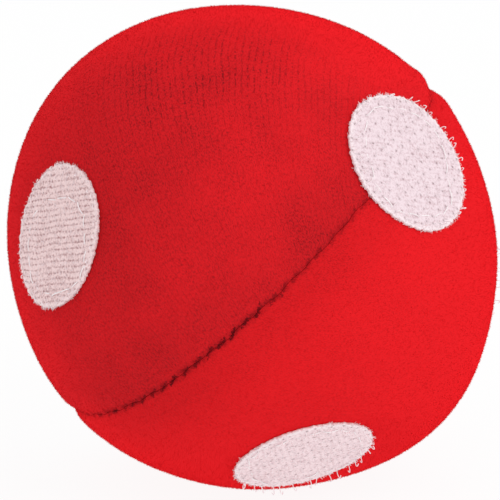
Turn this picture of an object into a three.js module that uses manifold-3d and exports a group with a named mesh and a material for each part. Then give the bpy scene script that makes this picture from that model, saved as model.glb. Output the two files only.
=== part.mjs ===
// Hook and loop catch ball: a fibre filled ball in two sewn cups of loop fabric, with six
// coins of hook tape sewn on. Millimetres, +Z up, seen from -Y, standing on a pressed flat
// whose centre is the origin.
import * as THREE from "three";
import { mergeVertices } from "three/addons/utils/BufferGeometryUtils.js";
import Module from "manifold-3d";

// The ball's form
const SEAM_DIAMETER = 79;
const CROWN_RISE = 2.5;
const CROWN_POWER = 6;
const REST_LATITUDE = 52;
const REST_FLAT_DEPTH = 0.5;
const CLEARANCE = 0.3;

// The two cups and their threads
const COVER_THICKNESS = 1.6;
const SEAM_ALLOWANCE = 6;
const LIP_RADIUS = 1.3;
const THREAD_DIAMETER = 0.5;
const STITCH_LENGTH = 2.7;
const STITCH_WAVE = 0.35;
const CLOSING_LENGTH = 40;
const CLOSING_LONGITUDE = 90;
const CLOSING_REACH = 1.5;

// The hook coins
const COIN_DIAMETER = 24;
const COIN_THICKNESS = 0.9;
const SEAT_MARGIN = 1.2;
const COIN_STITCH_INSET = 2.8;
const COIN_STITCH_DEPTH = 0.4;
const HOOK_HEIGHT = 1.4;
const HOOK_REACH = 0.8;
const HOOK_WIDTH = 0.4;
const HOOK_ROW_PITCH = 2.5;
const HOOK_PITCH = 3;

// A hook's form in shares of its height and reach, and how far its rows are staggered
const HOOK_STEM = 0.6;
const HOOK_TOP = 0.45;
const HOOK_TIP = 0.7;
const HOOK_STAGGER = 0.25;

// Where each coin sits, in degrees from the seam and round it, and how its rows turn
const COINS = [
  { name: "right", latitude: -3, longitude: -33.2, spin: 47 },
  { name: "left", latitude: 43.9, longitude: -131.4, spin: 75 },
  { name: "low", latitude: -44.9, longitude: -118.1, spin: -40 },
  { name: "edge", latitude: -57.7, longitude: 19, spin: 60 },
  { name: "back", latitude: 2, longitude: 146, spin: 0 },
  { name: "top", latitude: 36, longitude: 72, spin: 45 },
];

// How finely round forms are drawn
const COVER_SIDES = 40;
const COVER_RINGS = 9;
const LINING_SIDES = 20;
const LINING_RINGS = 6;
const LIP_STEPS = 3;
const SEAT_SIDES = 20;
const COIN_SIDES = 28;
const THREAD_SIDES = 3;
const POINTS_PER_STITCH = 2;
const STEPS_PER_SEAM_STITCH = 3;
const STEPS_PER_CLOSING_STITCH = 4;
const STEPS_PER_RING_STITCH = 2;
const HOOK_STEPS = 3;
const WELD_DISTANCE = 1e-4;

// Sizes that follow from those above
const seamRadius = SEAM_DIAMETER / 2;
const coinRadius = COIN_DIAMETER / 2;
const threadRadius = THREAD_DIAMETER / 2;
const halfGap = threadRadius + CLEARANCE;
const allowanceEnd = seamRadius - SEAM_ALLOWANCE;
const stitchRingRadius = coinRadius - COIN_STITCH_INSET;
const stitchRingOpening = 2 * THREAD_DIAMETER;
const coinFaceHeight = Math.sqrt(seamRadius ** 2 - coinRadius ** 2);
const seatHeight = coinFaceHeight - COIN_THICKNESS - CLEARANCE;
const seatAngle = Math.acos(seatHeight / seamRadius);
const seatShoulder = seatAngle / 2;
const seatReach = seatAngle * 2;

const wasm = await Module();
wasm.setup();

/** A closed solid from a geometry, with its shared corners merged and collapsed faces left out. */
function solidOf(geometry) {
  const bare = geometry.clone();
  bare.deleteAttribute("normal");
  bare.deleteAttribute("uv");
  const welded = mergeVertices(bare, WELD_DISTANCE);
  const corners = welded.index.array;
  const faces = [];
  for (let i = 0; i < corners.length; i += 3) {
    const [a, b, c] = [corners[i], corners[i + 1], corners[i + 2]];
    if (a !== b && b !== c && c !== a) {
      faces.push(a, b, c);
    }
  }
  return new wasm.Manifold(new wasm.Mesh({
    numProp: 3,
    vertProperties: new Float32Array(welded.attributes.position.array),
    triVerts: new Uint32Array(faces),
  }));
}

/** The geometry of a solid. */
function geometryOf(solid) {
  const mesh = solid.getMesh();
  const geometry = new THREE.BufferGeometry();
  geometry.setAttribute("position", new THREE.BufferAttribute(mesh.vertProperties, mesh.numProp));
  geometry.setIndex(new THREE.BufferAttribute(mesh.triVerts, 1));
  geometry.computeVertexNormals();
  return geometry;
}

/** A turned form about +Z from its profile, a list of [radius, height] running upwards. */
function turned(profile, sides) {
  const points = profile.map(([radius, height]) => new THREE.Vector2(radius, height));
  return new THREE.LatheGeometry(points, sides).rotateX(Math.PI / 2);
}

/** A thread or wire along a curve, closed at both ends. */
function strand(curve, radius, steps) {
  const section = new THREE.Shape();
  for (let side = 0; side < THREAD_SIDES; side += 1) {
    const angle = (2 * Math.PI * side) / THREAD_SIDES;
    const corner = [radius * Math.cos(angle), radius * Math.sin(angle)];
    if (side === 0) {
      section.moveTo(...corner);
    } else {
      section.lineTo(...corner);
    }
  }
  section.closePath();
  return new THREE.ExtrudeGeometry(section, { extrudePath: curve, steps });
}

/** The ball's outer radius at a latitude: round at the seam, drawn out to a crown at each pole. */
function crownRadius(latitude) {
  return seamRadius + CROWN_RISE * Math.abs(Math.sin(latitude)) ** CROWN_POWER;
}

/** The unit direction of a place on the ball. */
function directionAt(latitude, longitude) {
  const flat = Math.cos(latitude);
  return new THREE.Vector3(
    flat * Math.cos(longitude), flat * Math.sin(longitude), Math.sin(latitude),
  );
}

/** How much further out a coin sits than one on the seam, because of the crown at its latitude. */
function coinLift({ latitude }) {
  return crownRadius(THREE.MathUtils.degToRad(latitude)) - seamRadius;
}

/** A coin's own frame on the ball, out by its lift: its rows along X and its hooks along Z. */
function coinFrame(coin) {
  const { latitude, longitude, spin } = coin;
  const radians = THREE.MathUtils.degToRad;
  const out = directionAt(radians(latitude), radians(longitude));
  const east = new THREE.Vector3(-Math.sin(radians(longitude)), Math.cos(radians(longitude)), 0);
  const rows = east.applyAxisAngle(out, radians(spin));
  const across = new THREE.Vector3().crossVectors(out, rows);
  const place = out.clone().multiplyScalar(coinLift(coin));
  return new THREE.Matrix4().makeBasis(rows, across, out).setPosition(place);
}

/** What a coin presses away of the ball, down to its seat less a depth, with a sloped shoulder. */
function seatPress(depth) {
  const top = seamRadius + CROWN_RISE + SEAT_MARGIN;
  const floor = seatHeight - depth;
  const flat = coinRadius + SEAT_MARGIN - depth * Math.tan(seatShoulder / 2);
  const edge = seamRadius * Math.sin(seatReach);
  const drop = (edge - flat) * Math.tan(seatShoulder);
  return turned([[0, floor], [flat, floor], [edge, floor - drop], [edge, top], [0, top]], SEAT_SIDES);
}

/** A solid with the seats of all the coins pressed into it, each less a depth. */
function pressSeats(solid, depth) {
  let pressed = solid;
  for (const coin of COINS) {
    const press = seatPress(depth).applyMatrix4(coinFrame(coin));
    pressed = pressed.subtract(solidOf(press));
  }
  return pressed;
}

/** The ball's profile at a depth under its skin, from a latitude up to the pole. */
function skinProfile(depth, start, rings) {
  const points = [];
  for (let ring = 0; ring < rings; ring += 1) {
    const latitude = start + ((Math.PI / 2 - start) * ring) / rings;
    const radius = crownRadius(latitude) - depth;
    points.push([radius * Math.cos(latitude), radius * Math.sin(latitude)]);
  }
  points.push([0, crownRadius(Math.PI / 2) - depth]);
  return points;
}

/** The rounded lip of a cup where its edge turns in along the seam. */
function lipProfile() {
  const centreHeight = halfGap + LIP_RADIUS;
  const centreRadius = Math.sqrt((seamRadius - LIP_RADIUS) ** 2 - centreHeight ** 2);
  const end = Math.atan2(centreHeight, centreRadius);
  const points = [];
  for (let step = 0; step < LIP_STEPS; step += 1) {
    const angle = -Math.PI / 2 + ((end + Math.PI / 2) * step) / LIP_STEPS;
    points.push([
      centreRadius + LIP_RADIUS * Math.cos(angle),
      centreHeight + LIP_RADIUS * Math.sin(angle),
    ]);
  }
  return { points, end };
}

/** The upper cup's solid: a fabric skin with its edge turned in flat along the seam. */
function cupSolid(turn) {
  const lip = lipProfile();
  const form = turned(
    [[0, halfGap], ...lip.points, ...skinProfile(0, lip.end, COVER_RINGS)], COVER_SIDES,
  );
  const foldTop = halfGap + COVER_THICKNESS;
  const foldStart = Math.asin(foldTop / (seamRadius - COVER_THICKNESS));
  const hollow = turned(
    [
      [0, -halfGap], [allowanceEnd, -halfGap], [allowanceEnd, foldTop],
      ...skinProfile(COVER_THICKNESS, foldStart, LINING_RINGS),
    ],
    LINING_SIDES,
  );
  const outside = pressSeats(solidOf(form.applyMatrix4(turn)), 0);
  const inside = pressSeats(solidOf(hollow.applyMatrix4(turn)), COVER_THICKNESS);
  return outside.subtract(inside);
}

/** The filling: the ball's form inside the cups, with a channel round it for the turned-in edges. */
function fillingSolid() {
  const depth = COVER_THICKNESS + CLEARANCE;
  const channelTop = halfGap + COVER_THICKNESS + CLEARANCE;
  const channelStart = Math.asin(channelTop / (seamRadius - depth));
  const channelFloor = allowanceEnd - CLEARANCE;
  const upper = [[channelFloor, channelTop], ...skinProfile(depth, channelStart, LINING_RINGS)];
  const lower = upper.map(([radius, height]) => [radius, -height]).reverse();
  return pressSeats(solidOf(turned([...lower, ...upper], LINING_SIDES)), depth);
}

/** The ball's radius at a depth under the skin along a direction, with the seats pressed in. */
function pressedRadius(direction, depth) {
  const latitude = Math.asin(direction.z);
  let radius = crownRadius(latitude) - depth;
  for (const coin of COINS) {
    const out = new THREE.Vector3().setFromMatrixColumn(coinFrame(coin), 2);
    const facing = direction.dot(out);
    if (facing > Math.cos(seatReach)) {
      radius = Math.min(radius, (seatHeight + coinLift(coin) - depth) / facing);
    }
  }
  return radius;
}

/** A curve along the seam between two longitudes, from a function of the stitch count. */
function seamCurve(start, end, stitches, place) {
  const points = [];
  const count = stitches * POINTS_PER_STITCH;
  for (let i = 0; i <= count; i += 1) {
    const direction = directionAt(0, start + ((end - start) * i) / count);
    const { depth, side } = place(i);
    points.push(direction.multiplyScalar(pressedRadius(direction, depth)).setZ(side));
  }
  return new THREE.CatmullRomCurve3(points);
}

const closingSpan = CLOSING_LENGTH / seamRadius;
const closingMiddle = THREE.MathUtils.degToRad(CLOSING_LONGITUDE);
const closingStart = closingMiddle - closingSpan / 2;
const closingEnd = closingMiddle + closingSpan / 2;

/** The machine stitching between the turned-in edges, up and down once a stitch. */
function seamThread() {
  const end = closingStart + 2 * Math.PI - THREAD_DIAMETER / seamRadius;
  const start = closingEnd + THREAD_DIAMETER / seamRadius;
  const stitches = Math.round(((end - start) * seamRadius) / STITCH_LENGTH);
  const middle = LIP_RADIUS + threadRadius + STITCH_WAVE;
  const curve = seamCurve(start, end, stitches, (i) => ({
    depth: middle + (i % 2 ? STITCH_WAVE : -STITCH_WAVE), side: 0,
  }));
  return strand(curve, threadRadius, stitches * STEPS_PER_SEAM_STITCH);
}

/** The hand stitching over the lips, where the ball was turned and filled. */
function closingThread() {
  const stitches = Math.round(CLOSING_LENGTH / STITCH_LENGTH);
  const lift = threadRadius + CLEARANCE;
  const curve = seamCurve(closingStart, closingEnd, stitches, (i) => ({
    depth: -lift, side: i % 2 ? CLOSING_REACH : -CLOSING_REACH,
  }));
  return strand(curve, threadRadius, stitches * STEPS_PER_CLOSING_STITCH);
}

/** One hook of the tape: a wire that stands up and curls over along the rows. */
function hook(x, y, lean) {
  const curve = new THREE.CatmullRomCurve3([
    new THREE.Vector3(x, y, -HOOK_WIDTH / 2),
    new THREE.Vector3(x, y, HOOK_HEIGHT * HOOK_STEM),
    new THREE.Vector3(x + lean * HOOK_REACH * HOOK_TOP, y, HOOK_HEIGHT),
    new THREE.Vector3(x + lean * HOOK_REACH, y, HOOK_HEIGHT * HOOK_TIP),
  ]);
  return strand(curve, HOOK_WIDTH / 2, HOOK_STEPS);
}

/** Where the hooks stand: staggered rows inside the coin's edge and clear of its stitching. */
function hookPlaces() {
  const places = [];
  const channel = threadRadius + 2 * CLEARANCE + HOOK_WIDTH / 2;
  const rows = Math.floor(coinRadius / HOOK_ROW_PITCH);
  const columns = Math.floor(coinRadius / HOOK_PITCH);
  for (let row = -rows; row <= rows; row += 1) {
    for (let column = -columns; column <= columns; column += 1) {
      const x = (column + (row % 2 ? HOOK_STAGGER : -HOOK_STAGGER)) * HOOK_PITCH;
      const y = row * HOOK_ROW_PITCH;
      const radius = Math.hypot(x, y);
      const onCoin = radius < coinRadius - HOOK_WIDTH;
      const lean = row % 2 ? 1 : -1;
      const tipRadius = Math.hypot(x + lean * HOOK_REACH, y);
      const clear = Math.min(Math.abs(radius - stitchRingRadius), Math.abs(tipRadius - stitchRingRadius));
      if (onCoin && clear > channel) {
        places.push({ x, y, lean });
      }
    }
  }
  return places;
}

/** A coin: a disc of woven backing with a channel drawn in by its stitching, and its hooks. */
function coinSolid() {
  const wide = threadRadius + CLEARANCE + COIN_STITCH_DEPTH;
  const narrow = threadRadius + CLEARANCE;
  const disc = turned(
    [
      [0, -COIN_THICKNESS], [coinRadius, -COIN_THICKNESS], [coinRadius, 0],
      [stitchRingRadius + wide, 0], [stitchRingRadius + narrow, -COIN_STITCH_DEPTH],
      [stitchRingRadius - narrow, -COIN_STITCH_DEPTH], [stitchRingRadius - wide, 0], [0, 0],
    ],
    COIN_SIDES,
  );
  let coin = solidOf(disc);
  for (const { x, y, lean } of hookPlaces()) {
    coin = coin.add(solidOf(hook(x, y, lean)));
  }
  return coin;
}

/** The sewn ring of a coin, lying along its channel and rising once a stitch. */
function coinStitching() {
  const stitches = Math.round((2 * Math.PI * stitchRingRadius) / STITCH_LENGTH);
  const count = stitches * POINTS_PER_STITCH;
  const points = [];
  const span = 2 * Math.PI - stitchRingOpening / stitchRingRadius;
  const low = CLEARANCE + threadRadius - COIN_STITCH_DEPTH;
  for (let i = 0; i <= count; i += 1) {
    const angle = (span * i) / count;
    const height = low + (i % 2 ? STITCH_WAVE : 0);
    points.push(new THREE.Vector3(
      stitchRingRadius * Math.cos(angle), stitchRingRadius * Math.sin(angle), height,
    ));
  }
  return strand(new THREE.CatmullRomCurve3(points), threadRadius, stitches * STEPS_PER_RING_STITCH);
}

const loopFabric = new THREE.MeshStandardMaterial({ color: 0xd91f26, roughness: 0.95, metalness: 0 });
const hookNylon = new THREE.MeshStandardMaterial({ color: 0xf0e4e2, roughness: 0.6, metalness: 0 });
const whiteThread = new THREE.MeshStandardMaterial({ color: 0xf4efec, roughness: 0.8, metalness: 0 });
const redThread = new THREE.MeshStandardMaterial({ color: 0x8e1a1d, roughness: 0.8, metalness: 0 });
const whiteFibre = new THREE.MeshStandardMaterial({ color: 0xf2f0ea, roughness: 1, metalness: 0 });

/** A named mesh. */
function piece(name, geometry, material) {
  const mesh = new THREE.Mesh(geometry, material);
  mesh.name = name;
  return mesh;
}

// The ball leans so that its skin is level where it stands
const restLatitude = THREE.MathUtils.degToRad(REST_LATITUDE);
const restRadius = crownRadius(restLatitude);
const restSteepness = CROWN_POWER * Math.sin(restLatitude) ** (CROWN_POWER - 1) * Math.cos(restLatitude);
const restSlope = CROWN_RISE * restSteepness;
const lean = Math.PI / 2 - restLatitude + Math.atan(restSlope / restRadius);

const ball = new THREE.Group();
ball.rotation.y = -lean;
const restPoint = directionAt(-restLatitude, Math.PI).multiplyScalar(restRadius);
restPoint.applyAxisAngle(new THREE.Vector3(0, 1, 0), -lean);
ball.position.set(-restPoint.x, 0, -restPoint.z - REST_FLAT_DEPTH);
ball.updateMatrixWorld();

// The floor under the ball, in the ball's own frame
const floorTool = new THREE.BoxGeometry(SEAM_DIAMETER, SEAM_DIAMETER, SEAM_DIAMETER)
  .translate(0, 0, -seamRadius)
  .applyMatrix4(ball.matrixWorld.clone().invert());

const upright = new THREE.Matrix4();
const upsideDown = new THREE.Matrix4().makeRotationX(Math.PI);
ball.add(
  piece("fibre_filling", geometryOf(fillingSolid()), whiteFibre),
  piece("cover_half_upper", geometryOf(cupSolid(upright)), loopFabric),
  piece("cover_half_lower", geometryOf(cupSolid(upsideDown).subtract(solidOf(floorTool))), loopFabric),
  piece("seam_thread", seamThread(), redThread),
  piece("closing_thread", closingThread(), redThread),
);

const coinGeometry = geometryOf(coinSolid());
const stitchingGeometry = coinStitching();
for (const coin of COINS) {
  const seat = new THREE.Group();
  const frame = coinFrame(coin);
  seat.setRotationFromMatrix(frame);
  seat.position.setFromMatrixColumn(frame, 2).multiplyScalar(coinFaceHeight + coinLift(coin));
  seat.add(
    piece(`hook_coin_${coin.name}`, coinGeometry, hookNylon),
    piece(`coin_stitching_${coin.name}`, stitchingGeometry, whiteThread),
  );
  ball.add(seat);
}

const group = new THREE.Group();
group.add(ball);
export default group;
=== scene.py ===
"""A hook and loop catch ball: a stuffed ball in two sewn cups of red loop fabric, with six coins of
off-white hook tape sewn on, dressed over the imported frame.

Everything is in metres and in the frame's own axes. The ball's own frame has its seam in the XY
plane and the crown of its upper cup on +Z.
"""

import logging
import math
from collections.abc import Callable
from dataclasses import dataclass, replace
from enum import Enum
from typing import Any

import bpy
import numpy as np
from mathutils import Matrix, Vector
from mathutils.bvhtree import BVHTree

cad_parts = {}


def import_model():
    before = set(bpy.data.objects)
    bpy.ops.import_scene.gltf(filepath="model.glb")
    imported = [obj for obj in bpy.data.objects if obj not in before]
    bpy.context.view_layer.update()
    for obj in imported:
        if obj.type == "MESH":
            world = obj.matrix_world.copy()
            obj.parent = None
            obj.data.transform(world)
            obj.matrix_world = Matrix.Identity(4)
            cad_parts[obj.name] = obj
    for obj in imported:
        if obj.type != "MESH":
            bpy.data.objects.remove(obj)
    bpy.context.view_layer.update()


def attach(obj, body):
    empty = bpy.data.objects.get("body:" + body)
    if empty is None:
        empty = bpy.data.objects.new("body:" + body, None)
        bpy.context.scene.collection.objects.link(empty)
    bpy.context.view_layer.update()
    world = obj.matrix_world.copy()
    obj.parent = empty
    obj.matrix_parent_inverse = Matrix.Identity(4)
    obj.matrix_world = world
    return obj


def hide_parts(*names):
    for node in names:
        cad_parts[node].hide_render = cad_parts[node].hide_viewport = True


LOG = logging.getLogger("catch_ball")
MM = 0.001
TURN = 2 * math.pi
BODY = "root"
Array = np.ndarray
Mesh = bpy.types.Mesh
Material = bpy.types.Material
Colour = tuple[float, float, float, float]
Span = tuple[float, float]
Sockets = dict[str | int, Any]
BRUSHED: Sockets = {
    "Specular IOR Level": 0.02,
    "Sheen Roughness": 0.5,
    "Sheen Tint": (1.0, 0.02, 0.03, 1.0),
}


class Slot(Enum):
    """The record's material slots."""

    LOOP_FABRIC = "loop_fabric"
    HOOK_NYLON = "hook_nylon"
    WHITE_THREAD = "white_thread"
    RED_THREAD = "red_thread"
    FIBRE = "fibre"


class Half(Enum):
    """The two cups of the cover, by the side of the seam that they lie on."""

    UPPER = 1
    LOWER = -1


class NodeSheet:
    """A node tree and the few ways that its nodes are added."""

    def __init__(self, tree: bpy.types.NodeTree) -> None:
        """Keeps the tree that the nodes go into."""
        self.tree = tree

    @staticmethod
    def _named(sockets: Any, key: str | int) -> bpy.types.NodeSocket:
        """The socket of an index, or the first enabled one of a name."""
        if isinstance(key, int):
            return sockets[key]
        return next(s for s in sockets if s.name == key and s.enabled)

    def add(self, kind: str, sockets: Sockets | None = None, **settings: Any) -> bpy.types.Node:
        """Adds one node.

        Args:
            kind: the node's type.
            sockets: the number, colour, vector or link of each socket, by name or index.
            settings: its own properties, set before its sockets.

        Returns:
            The node.
        """
        node = self.tree.nodes.new(kind)
        for key, value in settings.items():
            setattr(node, key, value)
        for key, value in (sockets or {}).items():
            socket = self._named(node.inputs, key)
            value = getattr(value, "socket", value)
            if isinstance(value, bpy.types.NodeSocket):
                self.tree.links.new(value, socket)
            else:
                socket.default_value = value
        return node

    def out(self, node: bpy.types.Node, key: str | int = 0) -> "Value":
        """One output of a node, as a value."""
        return Value(self, self._named(node.outputs, key))

    def value(
        self, kind: str, sockets: Sockets | None = None, key: str | int = 0, **settings: Any
    ) -> "Value":
        """One output of a new node, as a value."""
        return self.out(self.add(kind, sockets, **settings), key)

    def maths(self, operation: str, *terms: Any) -> "Value":
        """A Math node on one to three values or numbers."""
        return self.value("ShaderNodeMath", dict(enumerate(terms)), operation=operation)

    def vector(self, x: Any, y: Any, z: Any) -> "Value":
        """A vector from three values or numbers."""
        return self.value("ShaderNodeCombineXYZ", {"X": x, "Y": y, "Z": z})


class Value:
    """A node socket that takes part in Python arithmetic, each step adding a Math node."""

    def __init__(self, sheet: NodeSheet, socket: bpy.types.NodeSocket) -> None:
        """Keeps the sheet that the sums go on."""
        self.sheet = sheet
        self.socket = socket

    def __add__(self, other: Any) -> "Value":
        """The sum."""
        return self.sheet.maths("ADD", self, other)

    def __sub__(self, other: Any) -> "Value":
        """The difference."""
        return self.sheet.maths("SUBTRACT", self, other)

    def __rsub__(self, other: Any) -> "Value":
        """The difference from a number."""
        return self.sheet.maths("SUBTRACT", other, self)

    def __mul__(self, other: Any) -> "Value":
        """The product."""
        return self.sheet.maths("MULTIPLY", self, other)

    __radd__ = __add__
    __rmul__ = __mul__

    def __neg__(self) -> "Value":
        """The value with its sign changed."""
        return self * -1.0

    def __abs__(self) -> "Value":
        """The value without its sign."""
        return self.sheet.maths("ABSOLUTE", self)

    def rounded(self) -> "Value":
        """The nearest whole number."""
        return self.sheet.maths("ROUND", self)

    def over(self, other: Any) -> "Value":
        """The larger of two."""
        return self.sheet.maths("MAXIMUM", self, other)

    def ramped(self, low: float, high: float) -> "Value":
        """A smooth climb from 0 at a low value to 1 at a high one."""
        sockets = {"Value": self, "From Min": low, "From Max": high}
        kind, smooth = "ShaderNodeMapRange", "SMOOTHSTEP"
        return self.sheet.value(kind, sockets, "Result", interpolation_type=smooth)


class FinishSheet(NodeSheet):
    """A material's nodes, on Object coordinates."""

    def __init__(self, name: str) -> None:
        """Starts an empty material."""
        self.material = bpy.data.materials.new(name)
        self.material.use_nodes = True
        super().__init__(self.material.node_tree)
        self.tree.nodes.clear()
        self.place = self.value("ShaderNodeTexCoord", key="Object")

    def noise(self, size: float, detail: float = 2.0, place: Value | None = None) -> Value:
        """Noise of a feature size, at a place other than the surface's own where one is given."""
        sockets = {"Vector": place or self.place, "Scale": 1 / size, "Detail": detail}
        return self.value("ShaderNodeTexNoise", sockets)

    def uneven(self, size: float, swing: float, detail: float = 2.0) -> Value:
        """Noise of a feature size to both sides of 0, over a swing."""
        return (self.noise(size, detail) - 0.5) * swing

    def luck(self, number: Value) -> Value:
        """A draw from 0 to 1 for each whole number."""
        return self.value("ShaderNodeTexWhiteNoise", {"W": number}, "Value", noise_dimensions="1D")

    def attribute(self, name: str) -> Value:
        """A number that the mesh carries at its points."""
        return self.value("ShaderNodeAttribute", key="Fac", attribute_name=name)

    def mixed(self, factor: Any, first: Any, second: Any) -> Value:
        """A colour between two."""
        sockets = {"Factor": factor, "A": first, "B": second}
        return self.value("ShaderNodeMix", sockets, "Result", data_type="RGBA")

    def shader(
        self, colour: Any, sockets: Sockets, relief: Any = None, depth: float = 0.0
    ) -> Value:
        """The surface's main shader.

        Args:
            colour: the base colour.
            sockets: the shader's other sockets.
            relief: a height from 0 to 1 for its bump, where it has one.
            depth: the height of the bump in metres.

        Returns:
            The shader's output.
        """
        sockets = {"Base Color": colour, **sockets}
        if relief is not None:
            sockets["Normal"] = self.value("ShaderNodeBump", {"Height": relief, "Distance": depth})
        return self.value("ShaderNodeBsdfPrincipled", sockets)

    def blended(self, share: Any, first: Value, second: Value) -> Value:
        """Two shaders, with a share of the second."""
        return self.value("ShaderNodeMixShader", {0: share, 1: first, 2: second})

    def finished(self, surface: Value) -> Material:
        """Ends the material in a shader."""
        self.add("ShaderNodeOutputMaterial", {"Surface": surface})
        return self.material


class FormSheet(NodeSheet):
    """A geometry node tree with named inputs, which ends in real faces with one material."""

    def __init__(self, name: str, *sizes: str) -> None:
        """Starts a tree with a mesh to work on, a material, named sizes and a seed."""
        super().__init__(bpy.data.node_groups.new(name, "GeometryNodeTree"))
        face = self.tree.interface
        kinds = {"Geometry": "Geometry", "Material": "Material"}
        kinds |= dict.fromkeys(sizes, "Float") | {"Seed": "Int"}
        for key, kind in kinds.items():
            face.new_socket(key, in_out="INPUT", socket_type=f"NodeSocket{kind}")
        face.new_socket("Geometry", in_out="OUTPUT", socket_type="NodeSocketGeometry")
        self.start = self.add("NodeGroupInput")
        self.seed = self.size("Seed")

    def size(self, name: str) -> Value:
        """A named input."""
        return self.out(self.start, name)

    def attribute(self, name: str, kind: str = "FLOAT") -> Value:
        """What the base mesh carries at its points."""
        node = "GeometryNodeInputNamedAttribute"
        return self.value(node, {"Name": name}, "Attribute", data_type=kind)

    def chance(self, low: Any, high: Any, step: int) -> Value:
        """A random number for each point, from the seed and a step."""
        sockets = {"Min": low, "Max": high, "Seed": self.seed + step}
        return self.value("FunctionNodeRandomValue", sockets, "Value", data_type="FLOAT")

    def kept(self, geometry: Any, name: str, value: Any) -> Value:
        """Geometry that carries a number at its points."""
        node = "GeometryNodeStoreNamedAttribute"
        sockets = {"Geometry": geometry, "Name": name, "Value": value}
        return self.value(node, sockets, data_type="FLOAT", domain="POINT")

    def points(self) -> Value:
        """The points of the mesh to work on."""
        return self.value("GeometryNodeMeshToPoints", {0: self.size("Geometry")})

    def turned(self, x: Any, y: Any, z: Any, first: Value | None = None) -> Value:
        """A rotation from three angles, in the frame of a first one where one is given."""
        turn = self.value("FunctionNodeEulerToRotation", {0: self.vector(x, y, z)})
        if first is None:
            return turn
        sockets = {"Rotation": first, "Rotate By": turn}
        return self.value("FunctionNodeRotateRotation", sockets, rotation_space="LOCAL")

    def wire(self, path: list[tuple[Any, Any, Any]], steps: int, sides: int) -> Value:
        """A round wire of the named thickness along one Bezier span, closed at both ends.

        Args:
            path: the span's start, its two handles and its end.
            steps: the points along it.
            sides: the points round it.

        Returns:
            The wire.
        """
        keys = ("Start", "Start Handle", "End Handle", "End")
        span = {key: self.vector(*place) for key, place in zip(keys, path)} | {"Resolution": steps}
        section = {"Resolution": sides, "Radius": self.size("Thickness") * 0.5}
        sockets = {
            "Curve": self.value("GeometryNodeCurvePrimitiveBezierSegment", span, mode="POSITION"),
            "Profile Curve": self.value("GeometryNodeCurvePrimitiveCircle", section, mode="RADIUS"),
            "Fill Caps": True,
        }
        return self.value("GeometryNodeCurveToMesh", sockets)

    def planted(self, points: Any, form: Any, rotation: Any, scale: Any) -> "FormSheet":
        """Ends the tree with a form on every point, made real and given the material.

        Args:
            points: where the forms go.
            form: what is planted.
            rotation: the way that each faces.
            scale: the size of each.

        Returns:
            The finished sheet.
        """
        sockets = {"Points": points, "Instance": form, "Rotation": rotation, "Scale": scale}
        on_points = self.value("GeometryNodeInstanceOnPoints", sockets)
        real = self.value("GeometryNodeRealizeInstances", {0: on_points})
        sockets = {"Geometry": real, "Material": self.size("Material")}
        self.add("NodeGroupOutput", {0: self.value("GeometryNodeSetMaterial", sockets)})
        return self

    def applied(
        self, base: Mesh, material: Material, sizes: dict[str, float]
    ) -> Mesh:
        """Runs the tree on a mesh.

        Args:
            base: the mesh that the tree works on.
            material: what the result is dressed in.
            sizes: the tree's named sizes and its seed.

        Returns:
            The result as a plain mesh.
        """
        carrier = placed("carrier", base)
        modifier = carrier.modifiers.new("form", "NODES")
        modifier.node_group = self.tree
        given = {"Material": material, **sizes}
        for item in self.tree.interface.items_tree:
            if item.in_out == "INPUT" and item.name in given:
                modifier[item.identifier] = given[item.name]
        graph = bpy.context.evaluated_depsgraph_get()
        mesh = bpy.data.meshes.new_from_object(
            carrier.evaluated_get(graph), preserve_all_data_layers=True, depsgraph=graph
        )
        bpy.data.objects.remove(carrier)
        mesh.shade_smooth()
        return mesh


def placed(name: str, data: Any) -> bpy.types.Object:
    """Puts a mesh, a lamp or a camera into the scene."""
    thing = bpy.data.objects.new(name, data)
    bpy.context.scene.collection.objects.link(thing)
    return thing


def points_of(mesh: Mesh) -> Array:
    """The points of a mesh, one row each."""
    points = np.empty(len(mesh.vertices) * 3, np.float32)
    mesh.vertices.foreach_get("co", points)
    return points.reshape(-1, 3)


def move_points(mesh: Mesh, points: Array) -> None:
    """Puts the points of a mesh where the rows say."""
    mesh.vertices.foreach_set("co", np.ascontiguousarray(points, np.float32).ravel())
    mesh.update()


def mesh_of(name: str, points: Array, *faces: Array) -> Mesh:
    """Makes a smooth mesh.

    Args:
        name: the mesh's name.
        points: one row a point.
        faces: arrays of faces, each array of faces with one number of corners.

    Returns:
        The mesh.
    """
    mesh = bpy.data.meshes.new(name)
    mesh.vertices.add(len(points))
    move_points(mesh, points)
    if faces:
        counts = np.concatenate([np.full(len(f), f.shape[1]) for f in faces])
        corners = np.concatenate([f.ravel() for f in faces]).astype(np.int32)
        starts = np.concatenate([[0], np.cumsum(counts)[:-1]]).astype(np.int32)
        mesh.loops.add(len(corners))
        mesh.loops.foreach_set("vertex_index", corners)
        mesh.polygons.add(len(counts))
        mesh.polygons.foreach_set("loop_start", starts)
    mesh.update(calc_edges=True)
    mesh.validate()
    if faces:
        mesh.shade_smooth()
    return mesh


def carry(mesh: Mesh, **layers: Array) -> None:
    """Keeps named numbers or vectors at every point of a mesh."""
    for name, values in layers.items():
        kind, key = ("FLOAT_VECTOR", "vector") if values.ndim == 2 else ("FLOAT", "value")
        layer = mesh.attributes.new(name, kind, "POINT")
        layer.data.foreach_set(key, np.ascontiguousarray(values, np.float32).ravel())


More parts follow.
